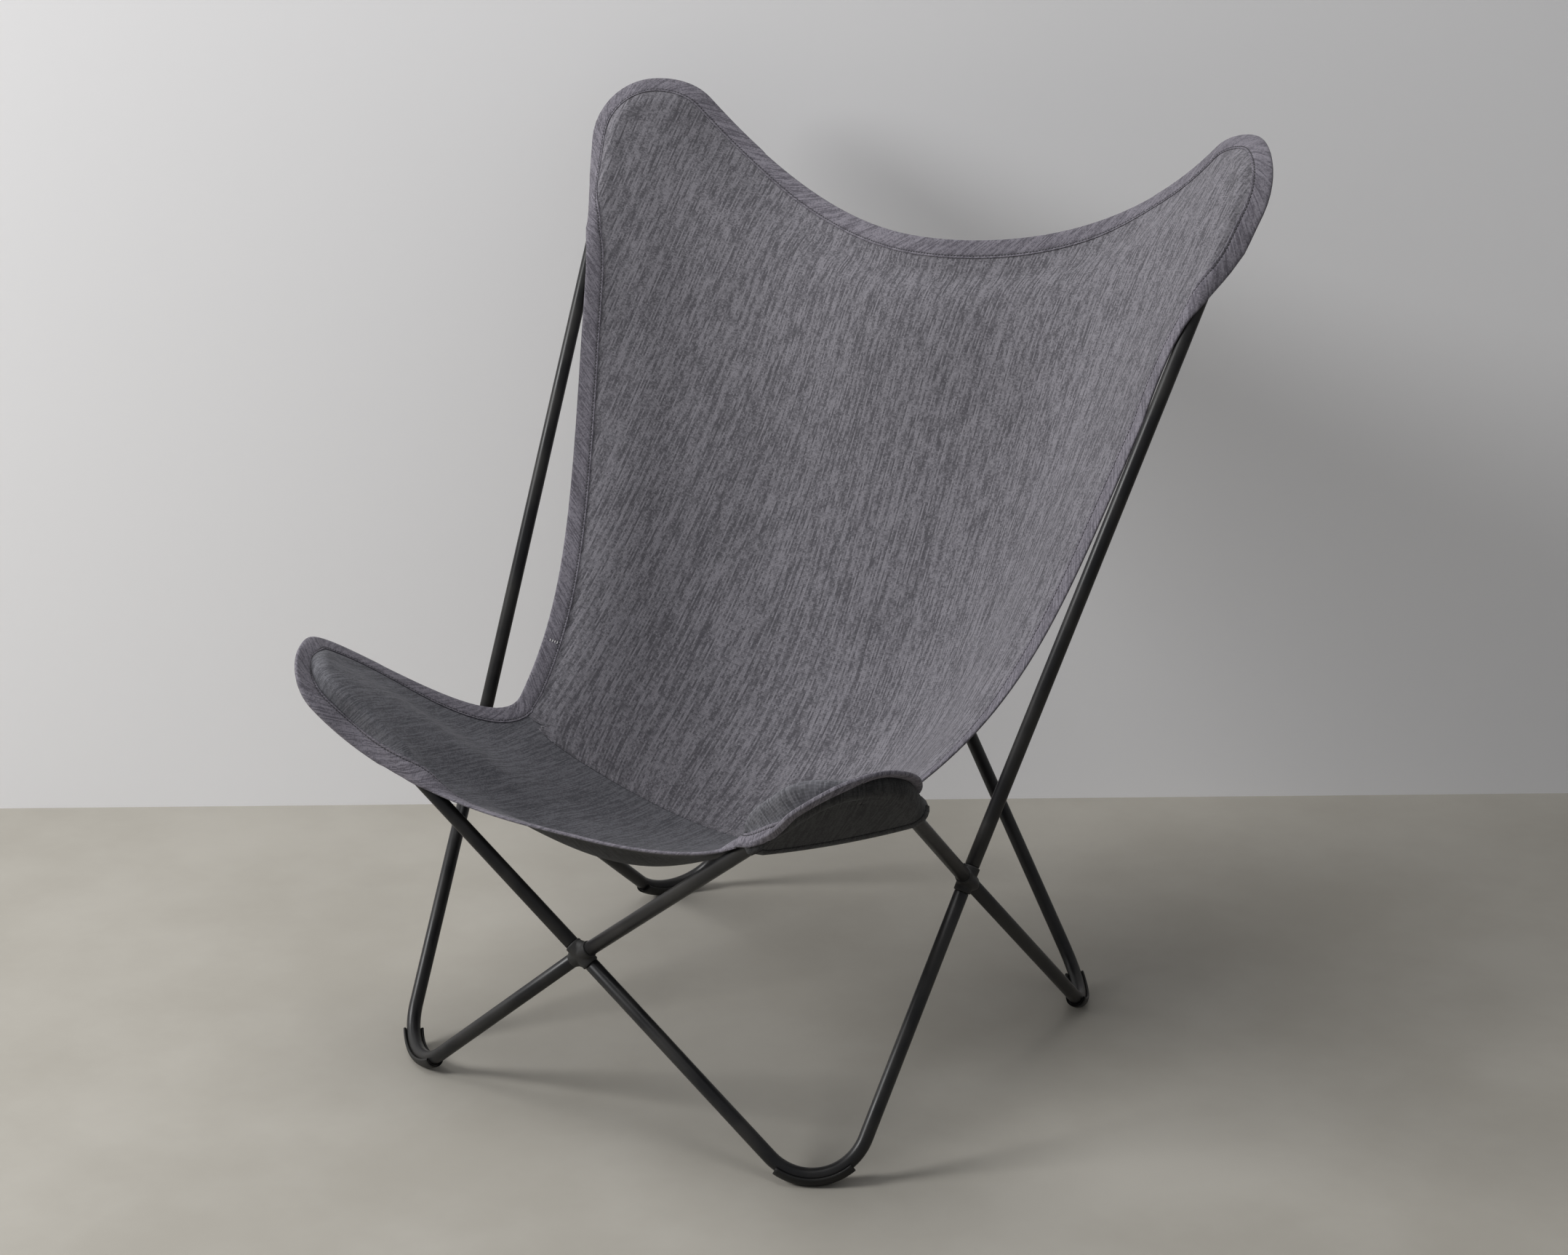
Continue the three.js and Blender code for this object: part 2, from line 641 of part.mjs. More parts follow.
// A panel: the rings along its rim, the sheet inside them and the seam allowance. Behind the seam `side` is 1.
function panelCloth(rim, sheet, side) {
  const cloth = new Cloth();
  const rows = sheet.length - 1;
  const inset = (side * (CLOTH_T + CLOTH_GAP)) / 2;
  const rings = EDGE_RINGS.length;
  const back = (k, p) => plus(p, seamFrames[k].apart, inset);
  const seamEnd = seamFrames.length - 1;
  const grid = sheet.map((row, i) =>
    row.map((p, j) => cloth.add(i === 0 ? back(rings - 1 + j, p) : p)),
  );
  const innerOf = (s) => {
    if (s <= rows) return grid[s][0];
    if (s >= rim.length - 1 - rows) return grid[rim.length - 1 - s][TOP_COLUMNS];
    return grid[rows][s - rows];
  };
  const last = rim.length - 1;
  const bands = rim.map((station, s) =>
    station.rings.map((p, r) => {
      if (r === rings - 1) return innerOf(s);
      if (s === 0) return cloth.add(back(r, p));
      return cloth.add(s === last ? back(seamEnd - r, p) : p);
    }),
  );
  const bound = EDGE_RINGS.findIndex((length) => length > TAPE_FACE_W);
  const seamRow = [...bands[0].slice(bound, -1), ...grid[0], ...bands[last].slice(bound, -1).reverse()];
  const allowance = seamRow.map((k, j) =>
    cloth.add(plus(cloth.points[k], seamFrames[j + bound].down, SEAM_ALLOWANCE)),
  );
  if (side > 0) {
    cloth.join(grid);
    cloth.join(bands);
    cloth.join([allowance, seamRow]);
  } else {
    cloth.join([...grid].reverse());
    cloth.join([...bands].reverse());
    cloth.join([seamRow, allowance]);
  }
  return cloth;
}

// The whole rim as one loop. Each station gets the direction across its binding, and the way the binding
// faces at the rim, halfway across and at its inner edge.
const loop = [...backRim.slice(0, -1), ...[...seatRim].reverse().slice(0, -1)];
loop.forEach((station, s) => {
  const around = [s - 1, s + 1].map((k) => loop.at(k % loop.length).rings);
  const [rim, half, inner] = station.rings;
  station.inward = toward(rim, half);
  const facing = (ring, across) => {
    const along = toward(around[0][ring], around[1][ring]);
    return across.clone().cross(along).normalize();
  };
  const atRim = facing(0, station.inward);
  const atInner = facing(2, toward(half, inner));
  station.faces = [atRim, atRim.clone().add(atInner).normalize(), atInner];
});

// Corner pocket: a second layer that shares the rim's binding, passes round the outside of the tube to its
// underside, and is hemmed across from leg to leg
const underLayer = CLOTH_T + CLOTH_GAP;
function pocketCloth(firstRun, secondRun) {
  const first = firstRun.filter((station) => station.doubled);
  const second = secondRun.filter((station) => station.doubled);
  const apex = first.length - 1;
  const beyond = second.length - 1;
  const stations = [...first.reverse(), ...second.slice(1)];
  const clear = TUBE_R + POCKET_CLEARANCE + CLOTH_T / 2;
  const cloth = new Cloth();
  const rows = stations.map(({ place, rings, inward, faces }) => {
    const rim = plus(rings[0], faces[0], -underLayer);
    const bound = plus(rim, inward, TAPE_BACK_W + 1);
    const offset = bound.clone().sub(place.axis);
    const out = offset.dot(place.outward);
    const high = offset.dot(place.up);
    const start = Math.atan2(high, out);
    const points = [rim, bound];
    for (let k = 1; k <= POCKET_RINGS; k++) {
      const t = k / POCKET_RINGS;
      const angle = THREE.MathUtils.lerp(start, -Math.PI / 2, t);
      const radius = THREE.MathUtils.lerp(Math.hypot(out, high), clear, t);
      points.push(fromTube(place, radius * Math.cos(angle), radius * Math.sin(angle)));
    }
    points.push(fromTube(place, -clear, -clear));
    return points.map((p) => cloth.add(p));
  });
  const steps = Math.max(apex, beyond);
  const rungs = [];
  for (let i = 0; i < steps; i++) {
    const left = 1 - i / steps;
    const a = rows[apex - Math.ceil(left * apex)].at(-1);
    const b = rows[apex + Math.ceil(left * beyond)].at(-1);
    const rung = [a];
    for (let c = 1; c < POCKET_COLUMNS; c++) {
      rung.push(cloth.add(mix(cloth.points[a], cloth.points[b], c / POCKET_COLUMNS)));
    }
    rungs.push([...rung, b]);
  }
  rungs.push(Array(POCKET_COLUMNS + 1).fill(rows[apex].at(-1)));
  cloth.join(rows);
  cloth.join(rungs);
  return cloth;
}

// Binding: a tape folded round the whole rim, wide on the sitter's side and narrow behind, with room for the
// pocket layer where there is one
function bindingGeometry() {
  const points = [];
  const triangles = [];
  const count = loop.length;
  loop.forEach((station, s) => {
    const { rings, inward, faces } = station;
    const near = [s - 1, s, s + 1].map((k) => loop.at(k % count));
    const over = CLOTH_T / 2 + TAPE_ROOM;
    const under = over + (near.some((one) => one.doubled) ? underLayer : 0);
    const rimAt = (across, high) => plus(plus(rings[0], inward, across), faces[0], high);
    const edge = plus(rings[2], toward(rings[2], rings[1]), FIT);
    const section = [
      plus(edge, faces[2], over),
      plus(edge, faces[2], over + TAPE_T),
      plus(rings[1], faces[1], over + TAPE_T),
      rimAt(-CLOTH_GAP - TAPE_T, over + TAPE_T),
      rimAt(-CLOTH_GAP - TAPE_T, -under - TAPE_T),
      rimAt(TAPE_BACK_W, -under - TAPE_T),
      rimAt(TAPE_BACK_W, -under),
      rimAt(-CLOTH_GAP, -under),
      rimAt(-CLOTH_GAP, over),
      plus(rings[1], faces[1], over),
    ];
    points.push(...section);
    const sides = section.length;
    const towardRim = [1, 2, 6];
    for (let k = 0; k < sides; k++) {
      const a = s * sides + k;
      const b = s * sides + ((k + 1) % sides);
      const c = ((s + 1) % count) * sides + k;
      const d = ((s + 1) % count) * sides + ((k + 1) % sides);
      if (towardRim.includes(k)) triangles.push(a, c, b, c, d, b);
      else triangles.push(a, d, b, a, c, d);
    }
  });
  return solidFrom(points, triangles);
}

// Materials
const steelPaint = { color: 0x1b1a19, roughness: 0.42, metalness: 0.25 };
const castPlastic = { color: 0x171717, roughness: 0.55, metalness: 0 };
const greyCloth = { color: 0x77767a, roughness: 0.95, metalness: 0 };
const tapeCloth = { color: 0x7c7b7e, roughness: 0.95, metalness: 0 };

const chair = new THREE.Group();
function place(name, geometry, look) {
  const mesh = new THREE.Mesh(geometry, new THREE.MeshStandardMaterial(look));
  mesh.name = name;
  chair.add(mesh);
}

const keep = (p) => p;
for (const [side, toSide] of [["left", mirror], ["right", keep]]) {
  const [tf, tb] = [toSide(tip.front), toSide(tip.back)];
  const [ff, fr] = [toSide(foot.front), toSide(foot.rear)];
  const xs = toSide(cross.side);
  place("wing_tube_front_" + side, bentTube(tf, xs, cross.front, WING_BEND_R), steelPaint);
  place("wing_tube_back_" + side, bentTube(tb, xs, cross.back, WING_BEND_R), steelPaint);
  place("foot_tube_front_" + side, bentTube(ff, cross.front, xs, FOOT_BEND_R), steelPaint);
  place("foot_tube_rear_" + side, bentTube(fr, cross.back, xs, FOOT_BEND_R), steelPaint);
  place("cross_" + side, castCross(xs, [tf, fr, tb, ff]), castPlastic);
  place("foot_glide_front_" + side, footGlide(ff, cross.front, xs), castPlastic);
  place("foot_glide_rear_" + side, footGlide(fr, cross.back, xs), castPlastic);
}
for (const [name, centre, tips, feet] of [
  ["cross_front", cross.front, tip.front, foot.front],
  ["cross_back", cross.back, tip.back, foot.rear],
]) {
  place(name, castCross(centre, [tips, mirror(tips), feet, mirror(feet)]), castPlastic);
}

// Each piece of the sling is trimmed back from the tubes and from the cloth it lies against, and only its
// main body is kept.
function trimmed(geometry, rooms) {
  const bodies = rooms.reduce((solid, room) => solid.subtract(room), toSolid(geometry)).decompose();
  bodies.sort((a, b) => b.volume() - a.volume());
  return toGeometry(bodies[0]);
}
const tubeRooms = [];
for (const toSide of [mirror, keep]) {
  for (const [corner, end] of [[tip.front, cross.front], [tip.back, cross.back]]) {
    const room = wingRoom(toSide(corner), toSide(cross.side), end);
    tubeRooms.push(toSolid(room));
  }
}

// Cloth with the gap about it. Steps of thickness cover its tight folds as well.
function roomOf(cloth) {
  const steps = [0, 0.5, 1].map((part) => CLOTH_T + 2 * CLOTH_GAP * part);
  return steps.map((thickness) => toSolid(cloth.thicken(thickness))).reduce((all, one) => all.add(one));
}
const panels = {
  sling_back_panel: panelCloth(backRim, backSheet, 1),
  sling_seat_panel: panelCloth(seatRim, seatSheet, -1),
};
const pockets = {
  corner_pocket_back_left: pocketCloth(leftRim.backSide, leftRim.top),
  corner_pocket_back_right: pocketCloth(rightRim.top, rightRim.backSide),
  corner_pocket_front_left: pocketCloth(leftRim.front, leftRim.frontSide),
  corner_pocket_front_right: pocketCloth(rightRim.frontSide, rightRim.front),
};
const panelRooms = Object.values(panels).map(roomOf);
const pocketRooms = Object.values(pockets).map(roomOf);
for (const [name, cloth] of Object.entries(panels)) {
  place(name, trimmed(cloth.thicken(CLOTH_T), tubeRooms), greyCloth);
}
for (const [name, cloth] of Object.entries(pockets)) {
  place(name, trimmed(cloth.thicken(CLOTH_T), [...tubeRooms, ...panelRooms]), greyCloth);
}
place("edge_binding", trimmed(bindingGeometry(), [...tubeRooms, ...panelRooms, ...pocketRooms]), tapeCloth);

// The origin goes under the middle of the outer box.
const box = new THREE.Box3().setFromObject(chair);
const middle = box.getCenter(new THREE.Vector3());
for (const mesh of chair.children) mesh.geometry.translate(-middle.x, -middle.y, -box.min.z);

export default chair;
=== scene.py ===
import json
import math

import bpy
import numpy as np
from mathutils import Matrix, Vector
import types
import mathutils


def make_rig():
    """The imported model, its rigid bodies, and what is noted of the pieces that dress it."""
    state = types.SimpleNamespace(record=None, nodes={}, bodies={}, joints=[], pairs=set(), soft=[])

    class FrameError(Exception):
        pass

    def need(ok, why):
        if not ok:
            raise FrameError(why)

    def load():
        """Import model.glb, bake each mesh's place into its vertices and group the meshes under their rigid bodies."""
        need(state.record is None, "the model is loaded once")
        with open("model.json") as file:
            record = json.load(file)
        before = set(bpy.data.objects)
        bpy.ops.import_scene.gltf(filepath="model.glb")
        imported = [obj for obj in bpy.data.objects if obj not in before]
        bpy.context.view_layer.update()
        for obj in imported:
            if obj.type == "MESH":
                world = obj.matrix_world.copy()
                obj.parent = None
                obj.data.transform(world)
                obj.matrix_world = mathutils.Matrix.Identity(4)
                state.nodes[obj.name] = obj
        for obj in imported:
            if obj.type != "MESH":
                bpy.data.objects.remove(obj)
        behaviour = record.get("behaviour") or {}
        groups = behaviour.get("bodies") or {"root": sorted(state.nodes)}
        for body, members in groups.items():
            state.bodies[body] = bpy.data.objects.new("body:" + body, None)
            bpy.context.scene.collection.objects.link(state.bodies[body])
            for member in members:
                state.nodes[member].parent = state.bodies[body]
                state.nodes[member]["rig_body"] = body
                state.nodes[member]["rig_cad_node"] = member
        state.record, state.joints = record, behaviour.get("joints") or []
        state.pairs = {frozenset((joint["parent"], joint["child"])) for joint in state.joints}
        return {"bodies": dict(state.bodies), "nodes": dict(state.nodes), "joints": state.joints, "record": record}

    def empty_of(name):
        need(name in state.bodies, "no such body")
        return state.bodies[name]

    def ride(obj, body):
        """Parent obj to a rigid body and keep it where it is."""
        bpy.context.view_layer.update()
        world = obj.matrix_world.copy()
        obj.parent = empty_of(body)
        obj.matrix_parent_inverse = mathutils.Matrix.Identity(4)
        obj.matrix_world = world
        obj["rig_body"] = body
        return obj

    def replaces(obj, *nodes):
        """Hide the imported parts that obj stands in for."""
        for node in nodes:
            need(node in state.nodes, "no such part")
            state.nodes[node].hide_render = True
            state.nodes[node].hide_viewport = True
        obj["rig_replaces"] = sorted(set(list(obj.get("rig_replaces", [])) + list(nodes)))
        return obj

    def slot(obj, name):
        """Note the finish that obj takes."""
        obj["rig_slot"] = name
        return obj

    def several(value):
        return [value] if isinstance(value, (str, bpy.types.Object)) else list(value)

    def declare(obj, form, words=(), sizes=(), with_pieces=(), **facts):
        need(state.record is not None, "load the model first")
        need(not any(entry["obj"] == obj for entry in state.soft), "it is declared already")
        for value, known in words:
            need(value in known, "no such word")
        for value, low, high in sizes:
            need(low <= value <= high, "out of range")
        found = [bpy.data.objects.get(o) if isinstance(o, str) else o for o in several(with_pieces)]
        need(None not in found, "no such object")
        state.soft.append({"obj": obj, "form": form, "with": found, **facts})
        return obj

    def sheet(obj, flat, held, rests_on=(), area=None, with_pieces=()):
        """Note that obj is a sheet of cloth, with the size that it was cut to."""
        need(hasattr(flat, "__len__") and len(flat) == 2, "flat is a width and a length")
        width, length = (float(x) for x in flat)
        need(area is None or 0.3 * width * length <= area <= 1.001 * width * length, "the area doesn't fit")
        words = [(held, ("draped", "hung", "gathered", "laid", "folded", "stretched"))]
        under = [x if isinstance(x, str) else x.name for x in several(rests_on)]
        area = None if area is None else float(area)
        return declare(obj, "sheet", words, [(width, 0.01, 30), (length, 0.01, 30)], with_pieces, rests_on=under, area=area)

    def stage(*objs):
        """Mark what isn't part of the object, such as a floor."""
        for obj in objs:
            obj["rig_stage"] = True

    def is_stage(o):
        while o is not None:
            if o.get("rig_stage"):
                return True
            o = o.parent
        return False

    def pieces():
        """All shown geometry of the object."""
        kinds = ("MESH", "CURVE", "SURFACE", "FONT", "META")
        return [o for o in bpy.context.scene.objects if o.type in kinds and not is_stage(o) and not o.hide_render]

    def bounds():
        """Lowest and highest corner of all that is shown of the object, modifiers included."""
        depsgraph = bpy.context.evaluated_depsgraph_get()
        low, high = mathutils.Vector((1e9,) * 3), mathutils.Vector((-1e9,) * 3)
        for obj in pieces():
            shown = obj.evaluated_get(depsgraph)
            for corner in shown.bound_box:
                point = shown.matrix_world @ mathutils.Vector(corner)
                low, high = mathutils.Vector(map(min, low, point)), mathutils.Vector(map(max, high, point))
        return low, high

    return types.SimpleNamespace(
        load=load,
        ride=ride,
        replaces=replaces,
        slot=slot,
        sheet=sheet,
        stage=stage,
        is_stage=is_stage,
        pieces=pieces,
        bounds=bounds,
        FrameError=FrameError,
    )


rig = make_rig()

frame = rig.load()
cad_low, cad_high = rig.bounds()

# Sizes in millimetres. The chair faces -Y and +X is the right of someone who looks at its front. The points
# are those of the solids before their origin goes under the middle of the chair's box, SHIFT from it.
SHIFT = np.array([0, 36.62, 0])
TUBE_R, TUBE_WALL = 7.0, 1.5
FOOT_BEND_R, WING_BEND_R = 54.0, 42.0
FOOT_FRONT = np.array([261.0, -254, 0])
FOOT_REAR = np.array([270.0, 254, 0])
TIP_FRONT = np.array([331.0, -298, 451])
TIP_BACK = np.array([384.0, 383, 947])
CROSS_FRONT = np.array([0, -280.0, 190])
CROSS_BACK = np.array([0, 312.0, 379])
CROSS_SIDE = np.array([294.0, -68, 256])
SHOULDER_R, SHOULDER_L, SPIGOT_L, FIT = 8.4, 13.0, 30.0, 0.3
MOUTH_BEVEL, BORE_SHOWN = 0.4, 36.0
HUB_R, HUB_HALF_T = 14.0, 7.5
SHOULDER_BEVEL, SHOULDER_ROOT, SPIGOT_PLAY, SPIGOT_CHAMFER = 0.5, 3.0, 0.5, 1.0
GLIDE_WALL, GLIDE_WRAP, GLIDE_FORE, GLIDE_AFT, SOLE_FLAT = 3.0, 176.0, 34.0, 40.0, 1.0
GLIDE_END_L, GLIDE_END_PINCH = 0.004, 0.6

# Cloth and its rim
CLOTH_T = 1.0
TUBE_TO_CLOTH = 0.5
DRAPE, TAUT_FADE = 24.0, 30.0
# Angle round the tube below which stitched-in cloth doesn't touch it
LOWEST_TOUCH = -0.8
TAPE_W, TAPE_BACK_W, TAPE_FOLD_W, STITCH_IN, STITCH_RISE = 18.0, 6.5, 4.0, 2.5, 1.1
LAP_W, LAP_LIFT, LAP_FROM_RIM, SEAM_STITCH_FROM_RIM = 13.0, 0.7, 15, 19
LAP_RISE = dict(starts=16, run=6, beside=0.45, edge=0.8, drop=0.25)
BACK_RIM = dict(margin=23, aside=-7, set=-5)
FRONT_RIM = dict(margin=18, aside=0, set=8)
BACK_ROLLS = [(14, 0, 80), (9, 0, -50)]
FRONT_ROLLS_LEFT, FRONT_ROLLS_RIGHT = [(-30, 34, -60)], [(-17, 34, -60)]
TUCK = dict(depth=24, full=104, until=139, gone=244)
TOP_EDGE = dict(leaves=-54, tip_run=169, end_run=59)
BACK_SIDE = dict(leaves=80, tip_run=358, end_run=203, tuck=TUCK["depth"])
FRONT_SIDE = dict(leaves=28, tip_run=77, end_run=77)
FRONT_EDGE = dict(leaves=-78, tip_run=111, end_run=64)
TOP_MID = np.array([0, 352.0, 757])
NOTCH = np.array([233.0, -63, 334])
NOTCH_TOE_IN, NOTCH_PITCH = 18, -20
FRONT_MID = np.array([0, -285.0, 311])
SEAM_MID = np.array([0, 20.0, 199])
SEAM_DIVE, SEAM_END_RUN, SEAM_MID_RUN = 39, 40, 87
TOP_FALL, FRONT_FALL = 66, 27
SEAT_BELLY = -20
# Swells of the seat under its level: depth, place across, width and place along, as parts of the panel
SEAT_SWELLS, SWELL_LENGTH = [(46.6, 0.462, 0.185, 0.652), (-23.0, 0.662, 0.154, 0.15)], 0.33
POCKET_REACH = dict(back_side=150, top=150, front_side=125, front=160)
POCKET_GAP, POCKET_SAG = 0.3, 0.02
BACK_RUNS, FRONT_RUNS = ("back_side", "top"), ("front_side", "front")
STITCHED_IN = dict(back_side=0.0, top=0.35, front_side=0.4, front=1.7)
STITCHED_FADE = dict(before=30, run=50)
PUFF_LEFT, PUFF_RIGHT, PUFF_LEAN = 5.0, 17.0, 1.3
PUFF = dict(starts=20, rise=50, fades=140, fall=95, from_rim=18, inward=12)
# Tape's puckers: how many go round the rim, and their height. The tape stands off where a pocket is bound in.
PUCKERS = [(173, 0.12), (241, 0.1), (317, 0.08)]
POCKETED_BEHIND, POCKETED_OUT = 1.45, 0.9
# Stitches: from one to the next, length and thickness
# The binding's stitches are real, drawn thick in dark thread so they also paint the shade of the crease beside them.
BINDING_STITCH = dict(pitch=3.4, size=3.0, thick=0.9)
SEAM_STITCH = dict(pitch=3.6, size=2.4, thick=0.42)
HEM_STITCH = dict(pitch=3.4, size=2.5, thick=0.5)
TACK_STITCH = dict(pitch=4.3, size=3.6, thick=0.8)
TACK_UP, TACK_HALF_L, TACK_RISE, TACK_FROM_RIM = 84.0, 2.2, 1.75, (6.0, 8.6, 11.2, 13.8)

# Fineness of the cloth, and how it is smoothed
ACROSS, BACK_ROWS, SEAT_ROWS, TIP_CROWDING, TIP_STEPS = 120, 64, 44, 1.2, 120
RINGS = np.r_[np.arange(0, 21.1, 1.5), 23, 25, 27.5, 30, 33, 36.5, 40.5, 45]
EVEN_OUT, EVEN_FADE = 14.0, 60.0
RELAX_ROUNDS, RELAX_SHARE, RELAX_FADE = 40, 0.5, 14.0

# Weave in metres: yarns, the ribs across them, and what their tones drift over. The back's streaks lean by an
# angle in degrees and spread upward, as if they met below the seam.
YARN_W, RIB_PITCH, SLUB_L = 0.0012, 0.0016, 0.024
BUNDLE_W, BUNDLE_L, BROAD_W, BROAD_L = 0.0013, 0.035, 0.11, 0.2
BACK_STREAKS = dict(turn=-5.0, fan=1.0)
BIAS = 52.0

# Room in metres, and the photograph's camera in pixels, millimetres and degrees
PHOTO_W, FOCAL_PX, SENSOR_W = 2156, 4246.8, 36.0
CAMERA_AT = np.array([1616.2, -2383.8, 1424.0])
AZIMUTH, ELEVATION, ROLL = np.radians([33.36, 19.013, 0.558])
FLOOR_HALF, WALL_AWAY, WALL_HALF_W, WALL_H = 9, 0.575, 7, 4.0
LEFT = np.array([-1.0, 1, 1])


def unit(v):
    return v / np.linalg.norm(v, axis=-1, keepdims=True)


def dot(a, b):
    return (a * b).sum(-1)


def ease(t):
    t = np.clip(t, 0, 1)
    return t * t * (3 - 2 * t)


def sloped(x, y, degrees):
    flat = unit(np.array([x, y, 0.0])) * math.cos(math.radians(degrees))
    return flat - np.array([0, 0, math.sin(math.radians(degrees))])


def lengths_of(line):
    return np.r_[0, np.cumsum(np.linalg.norm(np.diff(line, axis=0), axis=1))]


def along(line, lengths, values=None):
    """Points at lengths along a line, or what else is known at its points."""
    s = lengths_of(line)
    known = line if values is None else values
    return np.stack([np.interp(lengths, s, known[:, k]) for k in range(3)], 1)


def circle(x, y, sides):
    """Ways round a circle in the plane of two ways."""
    turn = np.linspace(0, 2 * math.pi, sides, endpoint=False)[:, None]
    return np.cos(turn) * x + np.sin(turn) * y


def cubic(a, b, c, d, count=160):
    t = np.linspace(0, 1, count)[:, None]
    return a * (1 - t) ** 3 + 3 * b * (1 - t) ** 2 * t + 3 * c * (1 - t) * t**2 + d * t**3


class Bend:
    """Bend of a tube: its centre, the ways to its middle and toward its first leg, and its half sweep."""

    def __init__(self, corner, end_a, end_b, radius):
        u, w = unit(end_a - corner), unit(end_b - corner)
        half = math.acos(np.clip(u @ w, -1, 1)) / 2
        inward = unit(u + w)
        self.centre = corner + inward * radius / math.sin(half)
        self.out = -inward
        self.across = unit(u - inward * (u @ inward))
        self.normal = np.cross(self.out, self.across)
        self.radius = radius
        self.sweep = math.pi / 2 - half

    def outward(self, angle):
        angle = np.asarray(angle)[..., None]
        return np.cos(angle) * self.out + np.sin(angle) * self.across

    def at(self, angle, radius=None):
        return self.centre + self.outward(angle) * (self.radius if radius is None else radius)


def let_down(corner, end_a, end_b):
    """Foot corner lowered until the sole of its glide stands on the floor."""
    corner = corner.copy()
    for _ in range(20):
        bend = Bend(corner, end_a, end_b, FOOT_BEND_R)
        lowest = bend.centre[2] - bend.radius * math.hypot(bend.out[2], bend.across[2])
        corner[2] += TUBE_R + FIT + GLIDE_WALL - SOLE_FLAT - lowest
    return corner


FOOT_FRONT = let_down(FOOT_FRONT, CROSS_FRONT, CROSS_SIDE)
FOOT_REAR = let_down(FOOT_REAR, CROSS_BACK, CROSS_SIDE)


# Node helpers
def feed(tree, made, feeds):
    """Gives each named input of a node a value or another node's output."""
    for key, value in feeds.items():
        if isinstance(value, bpy.types.NodeSocket):
            tree.links.new(value, made.inputs[key])
        else:
            made.inputs[key].default_value = value
    return made


def node(tree, kind, feeds=None, **settings):
    """Shader node with its settings and what feeds it."""
    made = tree.nodes.new("ShaderNode" + kind)
    for key, value in settings.items():
        setattr(made, key, value)
    return feed(tree, made, feeds or {})


def math_node(tree, operation, a, b=0.0, c=0.0):
    return node(tree, "Math", {0: a, 1: b, 2: c}, operation=operation).outputs[0]


def sum_of(tree, *parts):
    """Sum of values, each times its share."""
    total = 0.0
    for value, share in parts:
        total = math_node(tree, "MULTIPLY_ADD", value, share, total)
    return total


def placed(tree, x, y, z=0.0):
    return node(tree, "CombineXYZ", {0: x, 1: y, 2: z}).outputs[0]


def scaled(tree, place, x, y):
    return node(tree, "VectorMath", {0: place, 1: (x, y, 1.0)}, operation="MULTIPLY").outputs[0]


def noise(tree, place, scale, detail=2.0, roughness=0.5):
    feeds = {"Vector": place, "Scale": scale, "Detail": detail, "Roughness": roughness}
    return node(tree, "TexNoise", feeds, noise_dimensions="3D").outputs["Fac"]


def spread(tree, value, low, high, to_low=0.0, to_high=1.0):
    feeds = {"Value": value, "From Min": low, "From Max": high, "To Min": to_low, "To Max": to_high}
    return node(tree, "MapRange", feeds, interpolation_type="SMOOTHSTEP").outputs["Result"]


def mixed(tree, share, a, b, blend="MIX"):
    return node(tree, "Mix", {0: share, 6: a, 7: b}, data_type="RGBA", blend_type=blend).outputs[2]


def new_group(name, inputs):
    """Finish group with its named inputs, which puts out a colour, a height and a roughness."""
    tree = bpy.data.node_groups.new(name, "ShaderNodeTree")
    for label, kind, value in inputs:
        socket = tree.interface.new_socket(label, in_out="INPUT", socket_type="NodeSocket" + kind)
        if value is not None:
            socket.default_value = value
    for label, kind in (("Color", "Color"), ("Height", "Float"), ("Rough", "Float")):
        tree.interface.new_socket(label, in_out="OUTPUT", socket_type="NodeSocket" + kind)
    return tree, tree.nodes.new("NodeGroupInput").outputs, tree.nodes.new("NodeGroupOutput")


